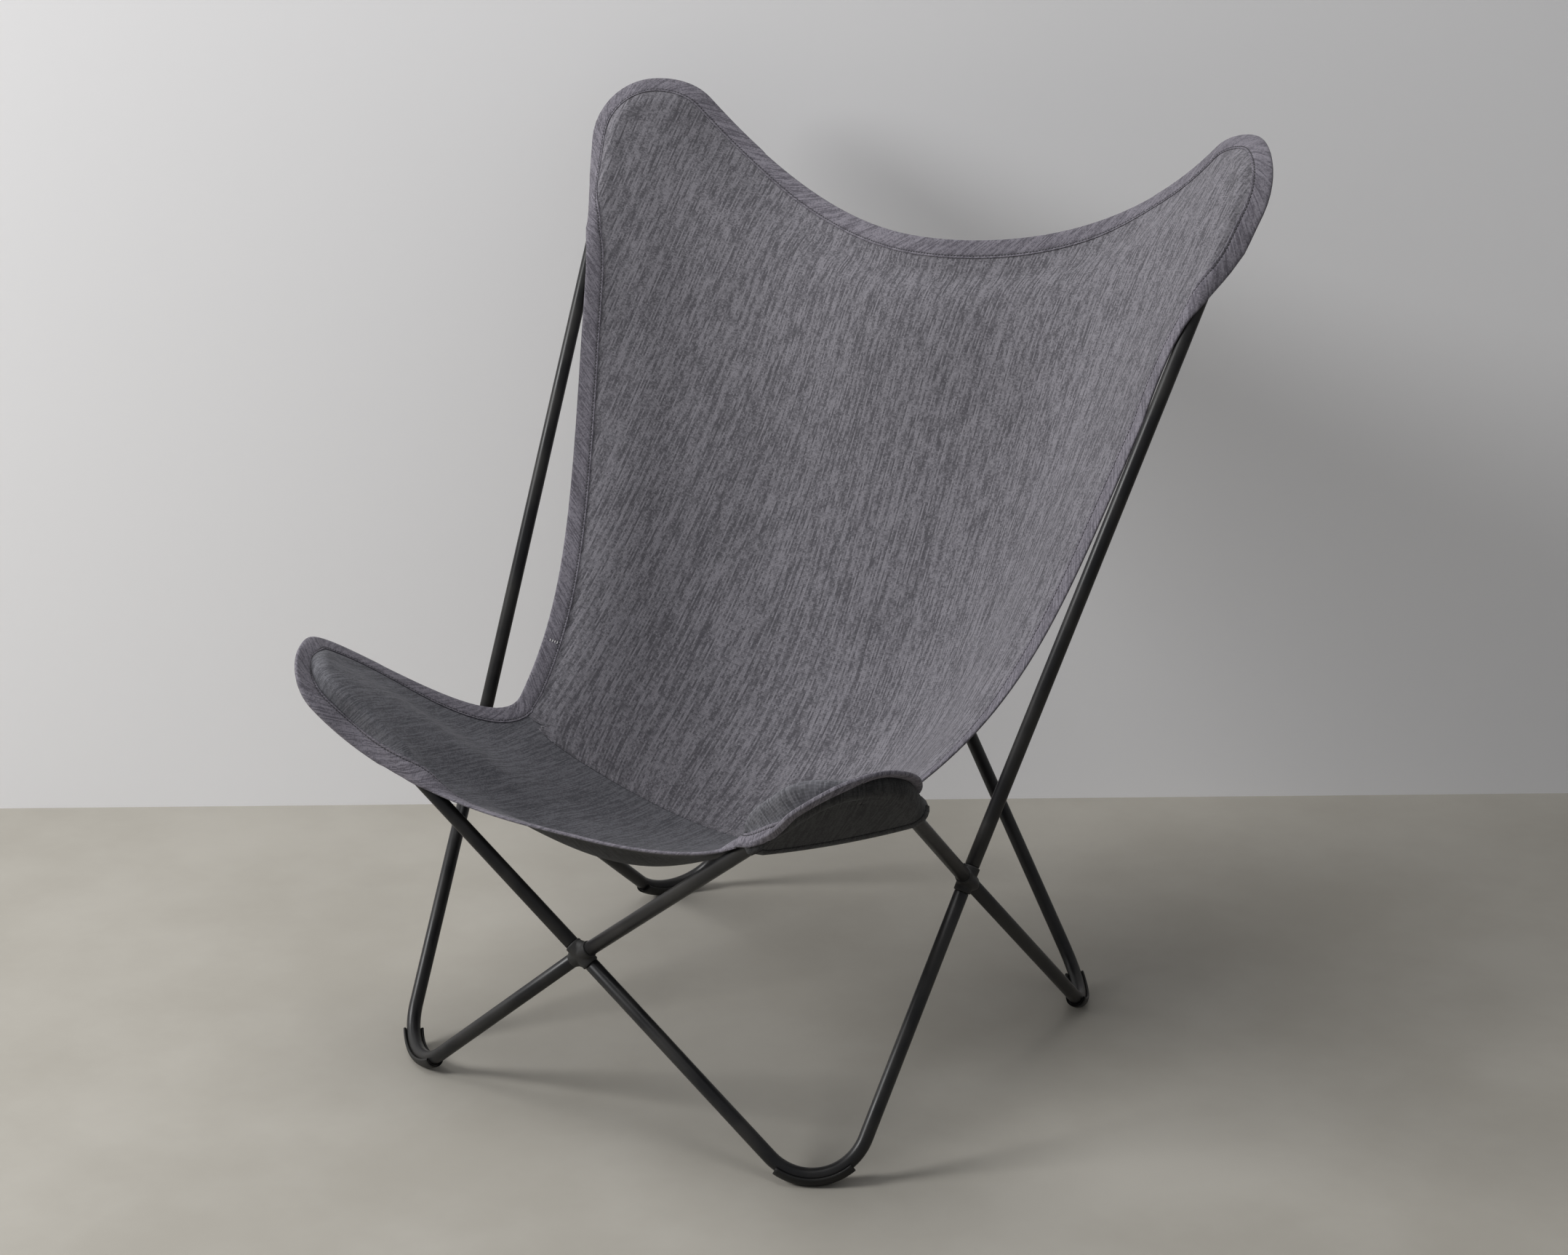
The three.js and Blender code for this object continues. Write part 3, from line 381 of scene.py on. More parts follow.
def streaked_weave():
    """Two-tone cloth: every lengthwise yarn drifts between light and dark, with a fleck at each rib across.
    Place is in metres, Y along the yarns."""
    inputs = [("Place", "Vector", None), ("Light", "Color", None), ("Dark", "Color", None)]
    tree, given, result = new_group("streaked_weave", inputs + [("Rib", "Float", RIB_PITCH)])
    place = given["Place"]
    split = node(tree, "SeparateXYZ", {0: place})
    yarns = math_node(tree, "DIVIDE", split.outputs["X"], YARN_W)
    ribs = math_node(tree, "DIVIDE", split.outputs["Y"], given["Rib"])
    count = math_node(tree, "FLOOR", yarns)
    own = node(tree, "TexWhiteNoise", {"W": count}, noise_dimensions="1D").outputs["Value"]
    apart = math_node(tree, "MULTIPLY", count, 5.37)
    ahead = math_node(tree, "DIVIDE", split.outputs["Y"], SLUB_L)
    slub = noise(tree, placed(tree, apart, ahead, own), 1.0, roughness=0.6)
    bundle = noise(tree, scaled(tree, place, 1 / BUNDLE_W, 1 / BUNDLE_L), 1.0)
    broad = noise(tree, scaled(tree, place, 1 / BROAD_W, 1 / BROAD_L), 1.0)
    crossing = placed(tree, count, math_node(tree, "FLOOR", ribs))
    fleck = node(tree, "TexWhiteNoise", {"Vector": crossing}, noise_dimensions="2D").outputs["Value"]
    tone = spread(tree, sum_of(tree, (slub, 0.64), (bundle, 0.1), (own, 0.1), (fleck, 0.16)), 0.34, 0.66)
    round_yarn = math_node(tree, "SINE", sum_of(tree, (math_node(tree, "FRACT", yarns), math.pi)))
    rib = math_node(tree, "SINE", sum_of(tree, (ribs, 2 * math.pi), (own, 1.6)))
    height = math_node(tree, "ADD", sum_of(tree, (rib, 0.25), (round_yarn, 0.4)), 0.25)
    cloth = mixed(tree, tone, given["Dark"], given["Light"])
    shade = math_node(tree, "MULTIPLY_ADD", height, 0.34, 0.83)
    shade = math_node(tree, "MULTIPLY", shade, spread(tree, broad, 0.3, 0.7, 0.96, 1.04))
    tint = placed(tree, shade, shade, shade)
    feed(tree, result, {
        "Color": mixed(tree, 1.0, cloth, tint, "MULTIPLY"),
        "Height": sum_of(tree, (tone, 0.3), (height, 0.7)),
        "Rough": spread(tree, tone, 0.0, 1.0, 0.97, 0.86),
    })
    return tree


def fine_grain():
    """Even fine grain of a sprayed or moulded black finish, with a few pale nicks."""
    inputs = [("Base", "Color", None), ("Nick", "Color", None), ("Grain", "Float", 900.0)]
    tree, given, result = new_group("fine_grain", inputs + [("Gloss", "Float", 0.4), ("Nicks", "Float", 0.5)])
    place = node(tree, "TexCoord").outputs["Object"]
    grain = noise(tree, place, given["Grain"])
    drift = noise(tree, place, 22.0, 3.0)
    cells = node(tree, "TexVoronoi", {"Vector": place, "Scale": 70.0}, feature="F1")
    nick = spread(tree, cells.outputs["Distance"], 0.10, 0.04)
    patch = spread(tree, noise(tree, place, 9.0), 0.58, 0.7)
    nick = math_node(tree, "MULTIPLY", math_node(tree, "MULTIPLY", nick, patch), given["Nicks"])
    dulled = math_node(tree, "MULTIPLY", spread(tree, drift, 0.35, 0.7), 0.35)
    dull = mixed(tree, dulled, given["Base"], (0.045, 0.042, 0.038, 1))
    rough = math_node(tree, "ADD", given["Gloss"], spread(tree, drift, 0.3, 0.7, -0.04, 0.06))
    feed(tree, result, {
        "Color": mixed(tree, nick, dull, given["Nick"]),
        "Height": grain,
        "Rough": math_node(tree, "MULTIPLY_ADD", grain, 0.05, rough),
    })
    return tree


WEAVE = streaked_weave()
GRAIN = fine_grain()


def new_finish(name):
    finish = bpy.data.materials.new(name)
    finish.use_nodes = True
    tree = finish.node_tree
    return finish, tree, tree.nodes["Principled BSDF"]


def dress(tree, skin, group, feeds, strength, depth, specular):
    """Feeds a skin from a finish group."""
    coat = node(tree, "Group", feeds, node_tree=group)
    bump = node(tree, "Bump", {"Strength": strength, "Distance": depth, "Height": coat.outputs["Height"]})
    feed(tree, skin, {
        "Base Color": coat.outputs["Color"],
        "Roughness": coat.outputs["Rough"],
        "Normal": bump.outputs[0],
        "Specular IOR Level": specular,
    })


def fanned(tree, laid, below):
    """Cloth's place with its streaks spread upward, as if they met in a point below the origin."""
    flat = node(tree, "SeparateXYZ", {0: laid})
    up = math_node(tree, "ADD", flat.outputs["Y"], below)
    across = math_node(tree, "MULTIPLY", math_node(tree, "ARCTAN2", flat.outputs["X"], up), below)
    from_point = placed(tree, flat.outputs["X"], up)
    length = node(tree, "VectorMath", {0: from_point}, operation="LENGTH").outputs["Value"]
    return placed(tree, across, math_node(tree, "SUBTRACT", length, below))


def cloth_finish(name, light, dark, turn=0.0, fan=0.0):
    finish, tree, skin = new_finish(name)
    laid = node(tree, "UVMap", uv_map="cut").outputs[0]
    if fan:
        laid = fanned(tree, laid, fan)
    if turn:
        feeds = {"Vector": laid, "Angle": math.radians(turn)}
        laid = node(tree, "VectorRotate", feeds, rotation_type="Z_AXIS").outputs[0]
    feeds = {"Place": laid, "Light": (*light, 1), "Dark": (*dark, 1), "Rib": RIB_PITCH}
    dress(tree, skin, WEAVE, feeds, strength=0.35, depth=0.0006, specular=0.2)
    skin.inputs["Sheen Weight"].default_value = 0.08
    skin.inputs["Sheen Roughness"].default_value = 0.5
    return finish


def black_finish(name, base, gloss, grain, depth, nicks):
    finish, tree, skin = new_finish(name)
    feeds = {"Base": (*base, 1), "Nick": (0.2, 0.195, 0.19, 1)}
    feeds.update(Grain=grain, Gloss=gloss, Nicks=nicks)
    dress(tree, skin, GRAIN, feeds, strength=0.4, depth=depth, specular=0.3)
    return finish


def thread_finish(name, dark, light):
    finish, tree, skin = new_finish(name)
    place = node(tree, "TexCoord").outputs["Object"]
    ply = node(tree, "TexWave", {"Vector": place, "Scale": 900.0, "Distortion": 1.0}).outputs["Fac"]
    feed(tree, skin, {"Base Color": mixed(tree, ply, (*dark, 1), (*light, 1)), "Roughness": 0.8})
    return finish


tube_paint = black_finish("satin_black_tube_paint", (0.009, 0.009, 0.01), 0.34, 1400.0, 0.00006, 0.5)
cross_black = black_finish("matte_black_cross", (0.014, 0.014, 0.014), 0.55, 700.0, 0.00015, 0.15)
glide_black = black_finish("black_glide", (0.009, 0.009, 0.009), 0.5, 500.0, 0.0001, 0.3)
back_cloth = cloth_finish(
    "grey_streaked_cloth_back", (0.19, 0.182, 0.201), (0.072, 0.069, 0.078), **BACK_STREAKS)
# The seat is the same cloth as the back, drawn darker in both tones: painted shade.
seat_cloth_painted_shade = cloth_finish("grey_streaked_cloth_seat", (0.13, 0.129, 0.143), (0.062, 0.062, 0.07))
pocket_cloth = cloth_finish("grey_streaked_cloth_pocket", (0.165, 0.158, 0.175), (0.066, 0.063, 0.071))
# The undersides are the same grey cloth as the rest, drawn near black: painted shade.
underside_painted_shade = cloth_finish("dark_underside_cloth", (0.046, 0.046, 0.047), (0.022, 0.022, 0.023))
tape_cloth = cloth_finish("bias_cut_binding", (0.185, 0.174, 0.2), (0.085, 0.079, 0.094), turn=BIAS)
dark_thread = thread_finish("dark_grey_thread", (0.03, 0.029, 0.033), (0.055, 0.053, 0.06))
pale_thread = thread_finish("pale_tack_thread", (0.42, 0.41, 0.4), (0.62, 0.61, 0.6))


# Piece helpers
def put_in(name, data):
    """Object in the scene."""
    thing = bpy.data.objects.new(name, data)
    bpy.context.scene.collection.objects.link(thing)
    return thing


def add_piece(name, points, faces, finish, slot, *nodes):
    """Smooth mesh piece from points in millimetres, riding on the chair, in place of the named solids."""
    mesh = bpy.data.meshes.new(name)
    mesh.from_pydata(((np.asarray(points) - SHIFT) * 0.001).tolist(), [], faces)
    mesh.polygons.foreach_set("use_smooth", [True] * len(mesh.polygons))
    mesh.materials.append(finish)
    piece = put_in(name, mesh)
    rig.ride(piece, "root")
    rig.slot(piece, slot)
    if nodes:
        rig.replaces(piece, *nodes)
    return piece


def strips(rows, closed=False):
    """Four-sided faces between neighbouring rows of point numbers."""
    rows = np.asarray(rows)
    if closed:
        rows = np.concatenate([rows, rows[:, :1]], 1)
    quads = np.stack([rows[:-1, :-1], rows[:-1, 1:], rows[1:, 1:], rows[1:, :-1]], -1).reshape(-1, 4)
    return [list(dict.fromkeys(q)) for q in quads.tolist()]


def capped(length, sides, base=0):
    """Faces of a tube of closed rows of points, and of its two ends."""
    rows = base + np.arange(length * sides).reshape(length, sides)
    return strips(rows, True) + [rows[0].tolist(), rows[-1, ::-1].tolist()]


def applied(piece):
    """Bakes a piece's modifiers into its mesh."""
    graph = bpy.context.evaluated_depsgraph_get()
    mesh = bpy.data.meshes.new_from_object(piece.evaluated_get(graph))
    piece.modifiers.clear()
    piece.data = mesh
    mesh.polygons.foreach_set("use_smooth", [True] * len(mesh.polygons))


# Frame
def bent_tube(name, corner, end_a, end_b, radius, sides=32, steps=28):
    """Hollow tube from one cross, round a bend, to the next, with broken edges at its mouths."""
    bend = Bend(corner, end_a, end_b, radius)
    angles = np.linspace(bend.sweep, -bend.sweep, steps + 1)

    def mouth(end, angle):
        """Bore, face and broken edge of a mouth, from the inside out."""
        to = unit(end - corner)
        face, bore = end - to * (SHOULDER_L + FIT), TUBE_R - TUBE_WALL
        inside = [(face - to * BORE_SHOWN, angle, bore), (face, angle, bore)]
        return inside + [(face, angle, TUBE_R - MOUTH_BEVEL), (face - to * MOUTH_BEVEL, angle, TUBE_R)]

    line = mouth(end_a, angles[0]) + [(p, a, TUBE_R) for p, a in zip(bend.at(angles), angles)]
    line += mouth(end_b, angles[-1])[::-1]
    points = [p + r * circle(bend.outward(a), bend.normal, sides) for p, a, r in line]
    faces = capped(len(line), sides)
    add_piece(name + "_painted", np.concatenate(points), faces, tube_paint, "tube_paint", name)


def turned(profile, axis, centre, sides=28):
    """Points and faces of a profile of (radius, height) pairs turned about an axis."""
    side = unit(np.cross(axis, [0.3, 0.5, 0.81]))
    ways = circle(side, np.cross(axis, side), sides)
    points = [centre + axis * h + r * ways for r, h in profile]
    rows = np.arange(len(profile) * sides).reshape(len(profile), sides)
    return np.concatenate(points), strips(rows, True) + [rows[0, ::-1].tolist(), rows[-1].tolist()]


def cast_cross(name, centre, corners):
    """Hub, four shoulders and four spigots melted into one casting with rounded crotches."""
    legs = [unit(corner - centre) for corner in corners]
    face = unit(np.cross(legs[0], legs[1]))
    spigot, tip = TUBE_R - TUBE_WALL - SPIGOT_PLAY, SHOULDER_L + SPIGOT_L
    arm = [(SHOULDER_R, -SHOULDER_ROOT), (SHOULDER_R, SHOULDER_L - SHOULDER_BEVEL)]
    arm += [(SHOULDER_R - SHOULDER_BEVEL, SHOULDER_L), (spigot, SHOULDER_L)]
    arm += [(spigot, tip - SPIGOT_CHAMFER), (spigot - SPIGOT_CHAMFER, tip)]
    tilt = np.linspace(-1.45, 1.45, 13)
    hub = [(HUB_R * math.cos(a), HUB_HALF_T * math.sin(a)) for a in tilt]
    points, faces = [], []
    for profile, axis in [(hub, face)] + [(arm, leg) for leg in legs]:
        ring, sides = turned(profile, axis, centre)
        count = sum(len(p) for p in points)
        points.append(ring)
        faces += [[k + count for k in f] for f in sides]
    piece = add_piece(name + "_cast", np.concatenate(points), faces, cross_black, "cross_casting", name)
    melt = piece.modifiers.new("melt", "REMESH")
    melt.mode, melt.voxel_size, melt.use_smooth_shade = "VOXEL", 0.0007, True
    soften = piece.modifiers.new("soften", "SMOOTH")
    soften.factor, soften.iterations = 0.5, 6
    thin = piece.modifiers.new("thin", "DECIMATE")
    thin.ratio = 0.3
    applied(piece)


def foot_glide(name, corner, end_a, end_b, mirrored, steps=26):
    """Half shell clipped under a foot bend, with rounded lips, and worn flat where it stands."""
    bend = Bend(corner, end_a, end_b, FOOT_BEND_R)
    lowest = math.atan2(-bend.across[2], -bend.out[2])
    lean = math.atan2(-bend.normal[2], -bend.outward(lowest)[2])
    wrap = math.radians(GLIDE_WRAP) / 2
    inner, outer = TUBE_R + FIT, TUBE_R + FIT + GLIDE_WALL
    arc = np.linspace(-wrap, wrap, 25)
    lip = np.linspace(0, math.pi, 7)[1:-1]
    half = GLIDE_WALL / 2
    section = [(outer, a) for a in arc]
    section += [(inner + half + half * math.cos(t), wrap + half * math.sin(t) / outer) for t in lip]
    section += [(inner, a) for a in arc[::-1]]
    section += [(inner + half - half * math.cos(t), -wrap - half * math.sin(t) / outer) for t in lip]
    radii = np.array([r for r, _ in section])[:, None]
    turn = np.array([a for _, a in section])[:, None] + lean
    span = np.linspace(math.radians(GLIDE_FORE), -math.radians(GLIDE_AFT), steps + 1)
    ends = np.r_[span[0] + GLIDE_END_L, span, span[-1] - GLIDE_END_L]
    points = []
    for k, angle in enumerate(lowest + ends):
        at_end = k in (0, len(ends) - 1)
        pinched = inner + half + (radii - inner - half) * GLIDE_END_PINCH if at_end else radii
        ways = np.cos(turn) * bend.outward(angle) + np.sin(turn) * bend.normal
        points.append(bend.at(angle) + pinched * ways)
    points = np.concatenate(points) * (LEFT if mirrored else 1)
    points[:, 2] = np.maximum(points[:, 2], 0)
    faces = capped(len(ends), len(section))
    add_piece(name + "_moulded", points, faces, glide_black, "glide_plastic", name)


for side, flip in (("left", LEFT), ("right", np.ones(3))):
    tips, feet = (TIP_FRONT * flip, TIP_BACK * flip), (FOOT_FRONT * flip, FOOT_REAR * flip)
    hub = CROSS_SIDE * flip
    bent_tube("wing_tube_front_" + side, tips[0], hub, CROSS_FRONT, WING_BEND_R)
    bent_tube("wing_tube_back_" + side, tips[1], hub, CROSS_BACK, WING_BEND_R)
    bent_tube("foot_tube_front_" + side, feet[0], CROSS_FRONT, hub, FOOT_BEND_R)
    bent_tube("foot_tube_rear_" + side, feet[1], CROSS_BACK, hub, FOOT_BEND_R)
    cast_cross("cross_" + side, hub, [tips[0], feet[1], tips[1], feet[0]])
    foot_glide("foot_glide_front_" + side, FOOT_FRONT, CROSS_FRONT, CROSS_SIDE, side == "left")
    foot_glide("foot_glide_rear_" + side, FOOT_REAR, CROSS_BACK, CROSS_SIDE, side == "left")
cast_cross("cross_front", CROSS_FRONT, [TIP_FRONT, TIP_FRONT * LEFT, FOOT_FRONT, FOOT_FRONT * LEFT])
cast_cross("cross_back", CROSS_BACK, [TIP_BACK, TIP_BACK * LEFT, FOOT_REAR, FOOT_REAR * LEFT])


# Sling
class Wing:
    """Bend of a wing tube as the cloth meets it. `up` is the sitter's side of its plane."""

    def __init__(self, corner, other_cross, sitter_side, looseness):
        self.bend = Bend(corner, CROSS_SIDE, other_cross, WING_BEND_R)
        self.up = self.bend.normal * np.sign(self.bend.normal @ np.array(sitter_side))
        self.crest = TUBE_R + TUBE_TO_CLOTH + CLOTH_T / 2 + looseness

    def beside(self, p):
        """Nearest point of the tube's axis, the way out from the bend, and the distances out and up."""
        d = p - self.bend.centre
        angle = np.arctan2(d @ self.bend.across, d @ self.bend.out)
        outward = self.bend.outward(np.clip(angle, -self.bend.sweep, self.bend.sweep))
        out, high = dot(d, outward) - self.bend.radius, d @ self.up
        return p - outward * out[..., None] - self.up * high[..., None], outward, out, high

    def from_tube(self, axis, outward, out, high):
        return axis + outward * out[..., None] + self.up * high[..., None]


BACK_WING = Wing(TIP_BACK, CROSS_BACK, (0, -1, 0), looseness=1.0)
FRONT_WING = Wing(TIP_FRONT, CROSS_FRONT, (0, 0, 1), looseness=3.5)


def draped(p):
    """Cloth pushed off the tubes, on the sitter's side inside the bends and straight out beyond them."""
    for wing in (BACK_WING, FRONT_WING):
        axis, outward, out, high = wing.beside(p)
        away = np.maximum(1, wing.crest / np.maximum(np.hypot(out, high), 1e-6))
        beyond = out > 0
        high = np.where(beyond, high * away, np.maximum(high, wing.crest - out**2 / DRAPE))
        p = wing.from_tube(axis, outward, np.where(beyond, out * away, out), high)
    return p


def draped_both(p):
    flip = np.where(p[..., :1] < 0, LEFT, 1.0)
    return draped(p * flip) * flip


def taut_over(wing, place, length, stitched_in):
    """Cloth at a length from the rim, straight to the tube, round it to its crest, and level from there.
    Where a pocket is stitched in, it meets the tube lower by an angle, in a crease beside the binding."""
    axis, outward, out, high = place
    crest = wing.crest
    reach = np.maximum(np.hypot(out, high), 1e-6)
    touch = np.arctan2(high, out) + np.arccos(np.clip(crest / reach, -1, 1))
    plain = (out <= 0) | (reach <= crest) | (touch >= math.pi / 2)
    touch = np.maximum(touch - stitched_in, np.minimum(touch, LOWEST_TOUCH))
    straight = np.maximum(np.hypot(out - crest * np.cos(touch), high - crest * np.sin(touch)), 1e-6)
    t = np.clip(length / straight, 0, 1)
    turn = touch + (length - straight) / crest
    rounding = turn < math.pi / 2
    far_out = np.where(rounding, crest * np.cos(turn), -(turn - math.pi / 2) * crest)
    far_high = np.where(rounding, crest * np.sin(turn), crest)
    near_out = (1 - t) * out + t * crest * np.cos(touch)
    near_high = (1 - t) * high + t * crest * np.sin(touch)
    to_out = np.where(plain, out - length, np.where(length < straight, near_out, far_out))
    to_high = np.where(plain, high, np.where(length < straight, near_high, far_high))
    return wing.from_tube(axis, outward, to_out, to_high)


def rim_line(wing, shape, rolls, edge, end, heading):
    """Rim from the middle of a tip, round the tip and along a free edge to the edge's far end."""
    def round_tip(t):
        degrees = edge["leaves"] * t
        lift = shape["set"] + sum(by * ease((degrees - start) / (stop - start)) for by, start, stop in rolls)
        flat = wing.bend.at(np.radians(degrees), WING_BEND_R + TUBE_R + shape["margin"])
        return flat + wing.bend.across * shape["aside"] + wing.up * lift[:, None]

    tip = round_tip(np.linspace(0, 1, TIP_STEPS))
    start = tip[-1]
    leave = unit(start - round_tip(np.array([0.995]))[0])
    edge_line = cubic(start, start + leave * edge["tip_run"], end - heading * edge["end_run"], end)
    line = np.concatenate([tip, edge_line[1:]])
    s = lengths_of(line)
    behind = ease(s / TUCK["full"]) * (1 - ease((s - TUCK["until"]) / (TUCK["gone"] - TUCK["until"])))
    return line - wing.up * (edge.get("tuck", 0) * behind)[:, None]


def rings_inward(wing, line, parts, end_inward, run, puff):
    """Rim points at parts of a run, and the rings of cloth inward of each."""
    s = parts * lengths_of(line)[-1]
    stitched_in = STITCHED_IN[run] * (
        1 - ease((s - POCKET_REACH[run] + STITCHED_FADE["before"]) / STITCHED_FADE["run"]))
    puffed = (
        puff * ease((s - PUFF["starts"]) / PUFF["rise"]) * (1 - ease((s - PUFF["fades"]) / PUFF["fall"]))
        if run == "front" else 0 * s)
    rim = draped(along(line, parts * lengths_of(line)[-1]))
    heading = np.empty_like(rim)
    heading[1:-1] = rim[2:] - rim[:-2]
    heading[0], heading[-1] = rim[1] - rim[0], rim[-1] - rim[-2]
    heading = unit(heading)
    place = wing.beside(rim)
    share = ease(parts)[:, None]
    inward = unit(-place[1] * (1 - share) + end_inward * share)
    inward[:-1] = unit(inward - heading * dot(inward, heading)[:, None])[:-1]
    free = ease(np.maximum(place[3] - wing.crest, -place[2]) / TAUT_FADE)[:, None]
    puff_way = unit(wing.up + PUFF_LEAN * place[1])
    rings = [rim]
    for length in RINGS[1:]:
        ring = draped(
            taut_over(wing, place, length, stitched_in) * (1 - free) + (rim + inward * length) * free)
        rings.append(ring + puff_way * (puffed * ease((length - PUFF["from_rim"]) / PUFF["inward"]))[:, None])
    return np.stack(rings, 1)


def evened(side_rings, middle_rings):
    """Two runs that share a tip, with the twist of their rings evened out along the rim."""
    joined = np.concatenate([side_rings[::-1], middle_rings[1:]])
    s = lengths_of(joined[:, 0])
    weight = np.exp(-0.5 * ((s[:, None] - s[None]) / EVEN_OUT) ** 2) * np.gradient(s)[None]
    weight /= weight.sum(1, keepdims=True)
    offset = joined - joined[:, :1]
    share = ease(np.minimum(s, s[-1] - s) / EVEN_FADE)[:, None, None]
    offset = offset + share * (np.einsum("ik,krc->irc", weight, offset) - offset)
    joined = draped(joined[:, :1] + offset)
    tip = len(side_rings) - 1
    return joined[tip::-1], joined[tip:]


NOTCH_INWARD = sloped(-1, 0, SEAM_DIVE)


def half_rim(front_rolls, puff):
    """The four runs of the right half: their lines, and their rings at even parts crowded toward the tips."""
    toe = math.radians(NOTCH_TOE_IN)
    forward = sloped(-math.sin(toe), -math.cos(toe), -NOTCH_PITCH)
    leftward = np.array([-1.0, 0, 0])
    back, front = (BACK_WING, BACK_RIM, BACK_ROLLS), (FRONT_WING, FRONT_RIM, front_rolls)
    runs = dict(
        back_side=(*back, BACK_SIDE, NOTCH, forward, NOTCH_INWARD, BACK_ROWS),
        top=(*back, TOP_EDGE, TOP_MID, leftward, sloped(0, -1, TOP_FALL), ACROSS // 2),
        front_side=(*front, FRONT_SIDE, NOTCH, -forward, NOTCH_INWARD, SEAT_ROWS),
        front=(*front, FRONT_EDGE, FRONT_MID, leftward, sloped(0, 1, FRONT_FALL), ACROSS // 2),
    )
    lines, rings = {}, {}
    for name, (wing, shape, rolls, edge, end, heading, inward, count) in runs.items():
        lines[name] = wing, rim_line(wing, shape, rolls, edge, end, heading), inward
        parts = (np.arange(count + 1) / count) ** TIP_CROWDING
        rings[name] = rings_inward(*lines[name][:2], parts, inward, name, puff)
    for side, middle in (BACK_RUNS, FRONT_RUNS):
        rings[side], rings[middle] = evened(rings[side], rings[middle])
    return lines, rings


right_lines, right_rings = half_rim(FRONT_ROLLS_RIGHT, PUFF_RIGHT)
left_lines, left_rings = half_rim(FRONT_ROLLS_LEFT, PUFF_LEFT)
left_rings = {name: rings * LEFT for name, rings in left_rings.items()}


def round_panel(left, right, side, middle):
    """What two halves hold along a panel's rim, from the left notch, round both tips, to the right notch."""
    return np.concatenate([left[side][:0:-1], left[middle][:-1], right[middle][:0:-1], right[side]])


steps = np.arange(ACROSS + 1) * 2 / ACROSS
COLUMNS = np.where(steps <= 1, steps**TIP_CROWDING / 2, 1 - (2 - steps) ** TIP_CROWDING / 2)


def seam_line():
    """Seam points from the left notch's innermost ring to the right one's."""
    end = right_rings["back_side"][-1, -1]
    sideways = np.array([1.0, 0, 0])
    half = cubic(end, end + NOTCH_INWARD * SEAM_END_RUN, SEAM_MID + sideways * SEAM_MID_RUN, SEAM_MID, 400)
    points = along(half, (1 - np.abs(2 * COLUMNS - 1)) * lengths_of(half)[-1])
    return np.where(COLUMNS[:, None] < 0.5, points * LEFT, points)


def panel_sheet(rim, seam, rows, belly, swells):
    """Rows of a panel from the seam to its far edge, inside the rings of its rim."""
    inner = rim[:, -1]
    u = COLUMNS[None, :, None]
    v = (1 - (1 - np.arange(rows + 1) / rows) ** TIP_CROWDING)[:, None, None]
    left, right = inner[: rows + 1][:, None], inner[-rows - 1 :][::-1][:, None]
    far = inner[rows : rows + ACROSS + 1][None]
    sheet = seam[None] * (1 - v) + far * v + left * (1 - u) + right * u
    sheet = sheet - seam[0] * (1 - u) * (1 - v) - seam[-1] * u * (1 - v)
    sheet = sheet - far[0, 0] * (1 - u) * v - far[0, -1] * u * v
    hollow = 16 * u * (1 - u) * v * (1 - v)
    sag = belly * hollow
    for depth, column, wide, row in swells:
        off = ((u - column) / wide) ** 2 + ((v - row) / SWELL_LENGTH) ** 2
        sag = sag + depth * np.exp(-off) * np.minimum(1, 2 * hollow)
    inside = draped_both(sheet + np.array([0, 0, -1.0]) * sag)
    sheet[1:-1, 1:-1] = inside[1:-1, 1:-1]
    return sheet


seam = seam_line()
back_rim = round_panel(left_rings, right_rings, *BACK_RUNS)
seat_rim = round_panel(left_rings, right_rings, *FRONT_RUNS)
back_sheet = panel_sheet(back_rim, seam, BACK_ROWS, 0, [])
seat_sheet = panel_sheet(seat_rim, seam, SEAT_ROWS, SEAT_BELLY, SEAT_SWELLS)


def panel_mesh(rim, sheet):
    """Points of a panel, and the numbers of those in its grid, rim bands, seam edge and beside the seam."""
    rows = len(sheet) - 1
    count = (rows + 1) * (ACROSS + 1)
    grid = np.arange(count).reshape(rows + 1, ACROSS + 1)
    inner = np.concatenate([grid[:-1, 0], grid[-1, :], grid[-2::-1, -1]])
    bands = count + np.arange(len(rim) * (len(RINGS) - 1)).reshape(len(rim), -1)
    bands = np.concatenate([bands, inner[:, None]], 1)
    points = np.concatenate([sheet.reshape(-1, 3), rim[:, :-1].reshape(-1, 3)])
    edge = np.concatenate([bands[0, :-1], grid[0], bands[-1, -2::-1]])
    beside = np.concatenate([bands[1, :-1], grid[1], bands[-2, -2::-1]])
    return points, grid, bands, edge, beside


def relaxed(points, faces, grid, bands, firm):
    """Panel with the kinks farther in than its firm edge smoothed out and the tubes cleared again. The seam
    stays put."""
    loose = np.zeros(len(points))
    loose[bands[:, :-1]] = ease((RINGS[:-1] - firm) / RELAX_FADE)[None]
    loose[grid] = 1
    loose[grid[0]] = 0
    loose[bands[[0, -1]]] = 0
    pairs = np.unique(np.sort([(f[k - 1], f[k]) for f in faces for k in range(len(f))], axis=1), axis=0)
    pairs = np.concatenate([pairs, pairs[:, ::-1]])
    near = np.bincount(pairs[:, 0], minlength=len(points))[:, None]
    for _ in range(RELAX_ROUNDS):
        pulls = [np.bincount(pairs[:, 0], points[pairs[:, 1], k], len(points)) for k in range(3)]
        mean = np.stack(pulls, 1) / near
        points = points + RELAX_SHARE * loose[:, None] * (mean - points)
    return np.where(loose[:, None] > 0, draped_both(points), points)


def cut_map(mesh):
    """Place of every face corner on the cloth laid flat."""
    flat = np.empty(len(mesh.loops) * 2)
    mesh.uv_layers["cut"].data.foreach_get("uv", flat)
    return flat.reshape(-1, 2)


